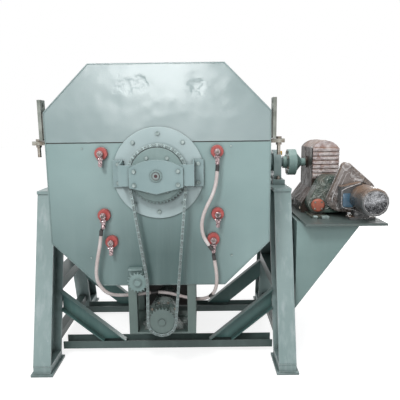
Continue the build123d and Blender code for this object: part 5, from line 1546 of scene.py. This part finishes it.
# Folds of film drawn tight round the bell
bellFolds = {
    "proud": 0.0035,
    "sway": 0.004,
    "swayNoise": (0.09, 50, 1),  # step along, scale from fold to fold, and a row of its own
    "taper": (0.35, 0.65),  # radius at the ends, and what its middle adds
    "uneven": (0.8, 0.5, 80),  # least share, what noise adds, and its scale
    "steps": 60,
    "folds": [
        {"y": -0.297, "share": 0.0, "start": 95, "end": 215, "radius": 0.0028},
        {"y": -0.327, "share": 0.0, "start": 100, "end": 235, "radius": 0.0032},
        {"y": -0.341, "share": 0.0, "start": 20, "end": 80, "radius": 0.0024},
        {"y": -0.349, "share": 0.2, "start": 118, "end": 205, "radius": 0.0042},
        {"y": -0.353, "share": 0.42, "start": 108, "end": 176, "radius": 0.0036},
        {"y": -0.357, "share": 0.66, "start": 60, "end": 128, "radius": 0.003},
    ],
}


def addBellFolds():
    sheet = bmesh.new()
    middle = Vector(motorFilm["axis"])
    steps = bellFolds["steps"]
    along, across, row = bellFolds["swayNoise"]
    ends, more = bellFolds["taper"]
    least, extra, scale = bellFolds["uneven"]
    for fold in bellFolds["folds"]:
        points = []
        radii = []
        for i, degrees in enumerate(spaced(fold["start"], fold["end"], steps)):
            outer, out = bellPoint(math.radians(degrees))
            outer += out * bellFolds["proud"]
            flat = outer.lerp(middle + out * motorFilm["barrelRadius"], fold["share"])
            sway = bellFolds["sway"] * noise.noise(Vector((i * along, fold["y"] * across, row)))
            point = Vector((flat.x, fold["y"] + sway, flat.y))
            points.append(point)
            taper = ends + more * math.sin(math.pi * i / steps)
            radii.append(fold["radius"] * taper * (least + extra * abs(noise.noise(point * scale))))
        tube(sheet, points, radii, barSides)
    addPiece("bellFolds", sheet, "filmEdge", "stand")


addBellFolds()
addBellFilm()
addBarrelFilm()
addCowlFoil()

# Junction box on the tilt motor: blue front panel with torn film round it
junctionBox = {
    "face": -0.425,
    "panelLow": (1.1, 0.998),
    "panelHigh": (1.166, 1.084),
    "panelCorner": 0.008,
    "panelRings": ((0.0, 0.0), (0.0, 0.0018), (0.0016, 0.003)),  # inset and distance from the face
    "films": [
        (0.0024, [
            (1.094, -0.427, 1.098), (1.092, -0.429, 1.05), (1.095, -0.43, 1.002), (1.118, -0.431, 0.99),
            (1.16, -0.433, 0.985), (1.2, -0.436, 0.972), (1.222, -0.439, 0.96),
        ]),
        (0.0034, [
            (1.092, -0.428, 1.1), (1.12, -0.43, 1.118), (1.15, -0.431, 1.128), (1.185, -0.43, 1.14),
            (1.205, -0.428, 1.146),
        ]),
    ],
    "filmSteps": 10,
    "filmGather": (0.5, 1.6, 60),  # thin and swollen share, and scale
}


def panelRing(inset, along):
    lowX, lowZ = junctionBox["panelLow"]
    highX, highZ = junctionBox["panelHigh"]
    corner = junctionBox["panelCorner"]
    ring = []
    for middle, start in (
        ((highX - corner, highZ - corner), 0), ((lowX + corner, highZ - corner), 90),
        ((lowX + corner, lowZ + corner), 180), ((highX - corner, lowZ + corner), 270),
    ):
        for degrees in spaced(start, start + 90, 4):
            angle = math.radians(degrees)
            ring.append(besideAxis(middle, angle, corner - inset, junctionBox["face"] - along))
    return ring


def addJunctionBox():
    sheet = bmesh.new()
    solidThrough(sheet, [panelRing(inset, along) for inset, along in junctionBox["panelRings"]])
    addPiece("boxPanel", sheet, "bluePaint", "stand")
    torn = bmesh.new()
    thin, swell, scale = junctionBox["filmGather"]
    for radius, route in junctionBox["films"]:
        points = splinePoints(route, junctionBox["filmSteps"])
        tube(torn, points, gathered(points, radius * thin, radius * swell, scale), barSides)
    addPiece("tornFilm", torn, "filmEdge", "stand")


addJunctionBox()
print("gearbox and tilt motor wrapped")

# Gearbox fittings: base bolts, filler plug, bolts of the bearing cap, and packers under the front foot
gearboxFittings = {
    "axisX": 1.06,
    "baseBolts": [
        (0.9045, -0.15, 0.945), (0.9045, 0.15, 0.945), (1.2155, -0.15, 0.945), (1.2155, 0.15, 0.945),
    ],
    "baseHead": (0.011, 0.008),
    "capAxis": (0.983, 0.99),
    "capFace": -0.316,
    "capBoltRing": 0.03,
    "capBoltCount": 4,
    "capHead": (0.0055, 0.004),
    "plug": (1.148, 0.06, 1.2),
    "plugHead": (0.014, 0.011),
    "packers": [((0.933, 0.96), (-0.394, -0.372)), ((0.985, 1.03), (-0.405, -0.372))],
    "packerBase": 0.9205,
    "packerTop": 0.938,
    "packerBevel": 0.003,
}


def addGearboxBolts():
    sheet = bmesh.new()
    for place in gearboxFittings["baseBolts"]:
        side = -1 if place[0] < gearboxFittings["axisX"] else 1
        hexHead(sheet, place, (side, 0, 0), *gearboxFittings["baseHead"])
    axis, reach, face = (gearboxFittings[key] for key in ("capAxis", "capBoltRing", "capFace"))
    for angle in roundAngles(gearboxFittings["capBoltCount"], 0.5):
        hexHead(sheet, besideAxis(axis, angle, reach, face), frontward, *gearboxFittings["capHead"])
    hexHead(sheet, gearboxFittings["plug"], (1, 0, 0), *gearboxFittings["plugHead"])
    addPiece("gearboxBolts", sheet, "boltSteel", "stand")


def addFootPackers():
    sheet = bmesh.new()
    low, high = gearboxFittings["packerBase"], gearboxFittings["packerTop"]
    bevel = gearboxFittings["packerBevel"]
    for (left, right), (front, back) in gearboxFittings["packers"]:
        rings = []
        for z, inset in ((low, 0.0), (high - bevel, 0.0), (high, bevel)):
            rings.append([
                (left + inset, front + inset, z), (right - inset, front + inset, z),
                (right - inset, back - inset, z), (left + inset, back - inset, z),
            ])
        solidThrough(sheet, rings)
    addPiece("footPackers", sheet, "boltPaint", "stand")


addGearboxBolts()
addFootPackers()

# Bolts that hold the trunnion plates to the casing sides
sideBolts = {
    "face": 0.6385,
    "reach": 0.118,
    "head": (0.013, 0.009),
}


def addSideBolts():
    sheet = bmesh.new()
    reach = sideBolts["reach"]
    for side in (-1, 1):
        for row in (-1, 0, 1):
            for level in (-1, 0, 1):
                if row == 0 and level == 0:  # the trunnion's shaft
                    continue
                place = (side * sideBolts["face"], row * reach, axisHeight + level * reach)
                hexHead(sheet, place, (side, 0, 0), *sideBolts["head"])
    addPiece("trunnionBolts", sheet, "boltPaint", "furnace")


addSideBolts()
print("fittings added")

# Pale floor and world, which the camera and reflections see brighter than they light the furnace
stage = {
    "floorHalf": 30,
    "floorDrop": 0.0005,
    "floorTone": rgb(0.42, 0.42, 0.42),
    "floorPatch": rgb(0.45, 0.45, 0.45),
    "floorRoughness": 0.8,
    "floorShine": 0.1,
    "floorGlow": 0.8,
    "floorPatchScale": 0.6,
    "worldSpan": (-0.3, 0.8),  # heights between which the light rises
    "worldLight": (0.06, 0.5),
}


def shownRays(tree):
    rays = addNode(tree, "ShaderNodeLightPath")
    seen = combine(tree, "MAXIMUM", rays.outputs["Is Camera Ray"], rays.outputs["Is Glossy Ray"])
    return combine(tree, "MAXIMUM", seen, rays.outputs["Is Transmission Ray"])


def floorMaterial():
    material, tree, shader = newMaterial("floorTone")
    patches = addNoise(tree, objectPlace(tree), stage["floorPatchScale"], 3.0)
    tone = blendColor(tree, patches, stage["floorTone"], stage["floorPatch"])
    tree.links.new(tone, shader.inputs["Base Color"])
    shader.inputs["Roughness"].default_value = stage["floorRoughness"]
    shader.inputs["Specular IOR Level"].default_value = stage["floorShine"]
    shader.inputs["Emission Color"].default_value = (1, 1, 1, 1)
    glow = times(tree, shownRays(tree), stage["floorGlow"])
    tree.links.new(glow, shader.inputs["Emission Strength"])
    return material


def addFloor():
    sheet = bmesh.new()
    bmesh.ops.create_grid(sheet, x_segments=1, y_segments=1, size=stage["floorHalf"])
    mesh = bpy.data.meshes.new("floor")
    sheet.to_mesh(mesh)
    sheet.free()
    mesh.materials.append(floorMaterial())
    floor = bpy.data.objects.new("floor", mesh)
    floor.location.z = -stage["floorDrop"]
    bpy.context.scene.collection.objects.link(floor)


def addWorld():
    world = bpy.data.worlds.new("studio")
    bpy.context.scene.world = world
    world.use_nodes = True
    sky = world.node_tree
    background = sky.nodes["Background"]
    background.inputs["Color"].default_value = (1, 1, 1, 1)
    aim = addNode(sky, "ShaderNodeTexCoord")
    split = addNode(sky, "ShaderNodeSeparateXYZ")
    sky.links.new(aim.outputs["Generated"], split.inputs["Vector"])
    light = ramp(sky, split.outputs["Z"], *stage["worldSpan"], *stage["worldLight"])
    strength = combine(sky, "MAXIMUM", light, shownRays(sky))
    sky.links.new(strength, background.inputs["Strength"])


# Softbox high in front for the sheen on the upper sheet, key, side and back boxes and one overhead
lamps = {
    "glareBox": {"place": (-0.42, -4.65, 2.32), "aim": (0, -0.65, 1.6), "size": (1.5, 0.8), "power": 50},
    "keyBox": {"place": (-1.3, -4.6, 4.4), "aim": (0.1, -0.4, 0.9), "size": (1.0, 1.0), "power": 138},
    "sideBox": {"place": (3.9, -4.2, 2.4), "aim": (0.6, -0.4, 0.9), "size": (1.8, 1.8), "power": 42},
    "backBox": {"place": (2.6, 4.7, 0.9), "aim": (0, 0.5, 1.1), "size": (2.4, 0.8), "power": 70},
    "topBox": {"place": (0.2, -0.6, 4.8), "aim": (0.2, 0, 1.0), "size": (3.0, 2.4), "power": 60},
}


def addLamp(name, look):
    data = bpy.data.lights.new(name, "AREA")
    data.shape = "RECTANGLE"
    data.size, data.size_y = look["size"]
    data.energy = look["power"]
    lamp = bpy.data.objects.new(name, data)
    lamp.location = look["place"]
    aim = Vector(look["aim"]) - Vector(look["place"])
    lamp.rotation_euler = aim.to_track_quat("-Z", "Y").to_euler()
    bpy.context.scene.collection.objects.link(lamp)


addFloor()
addWorld()
for name, look in lamps.items():
    addLamp(name, look)
print("stage lit")
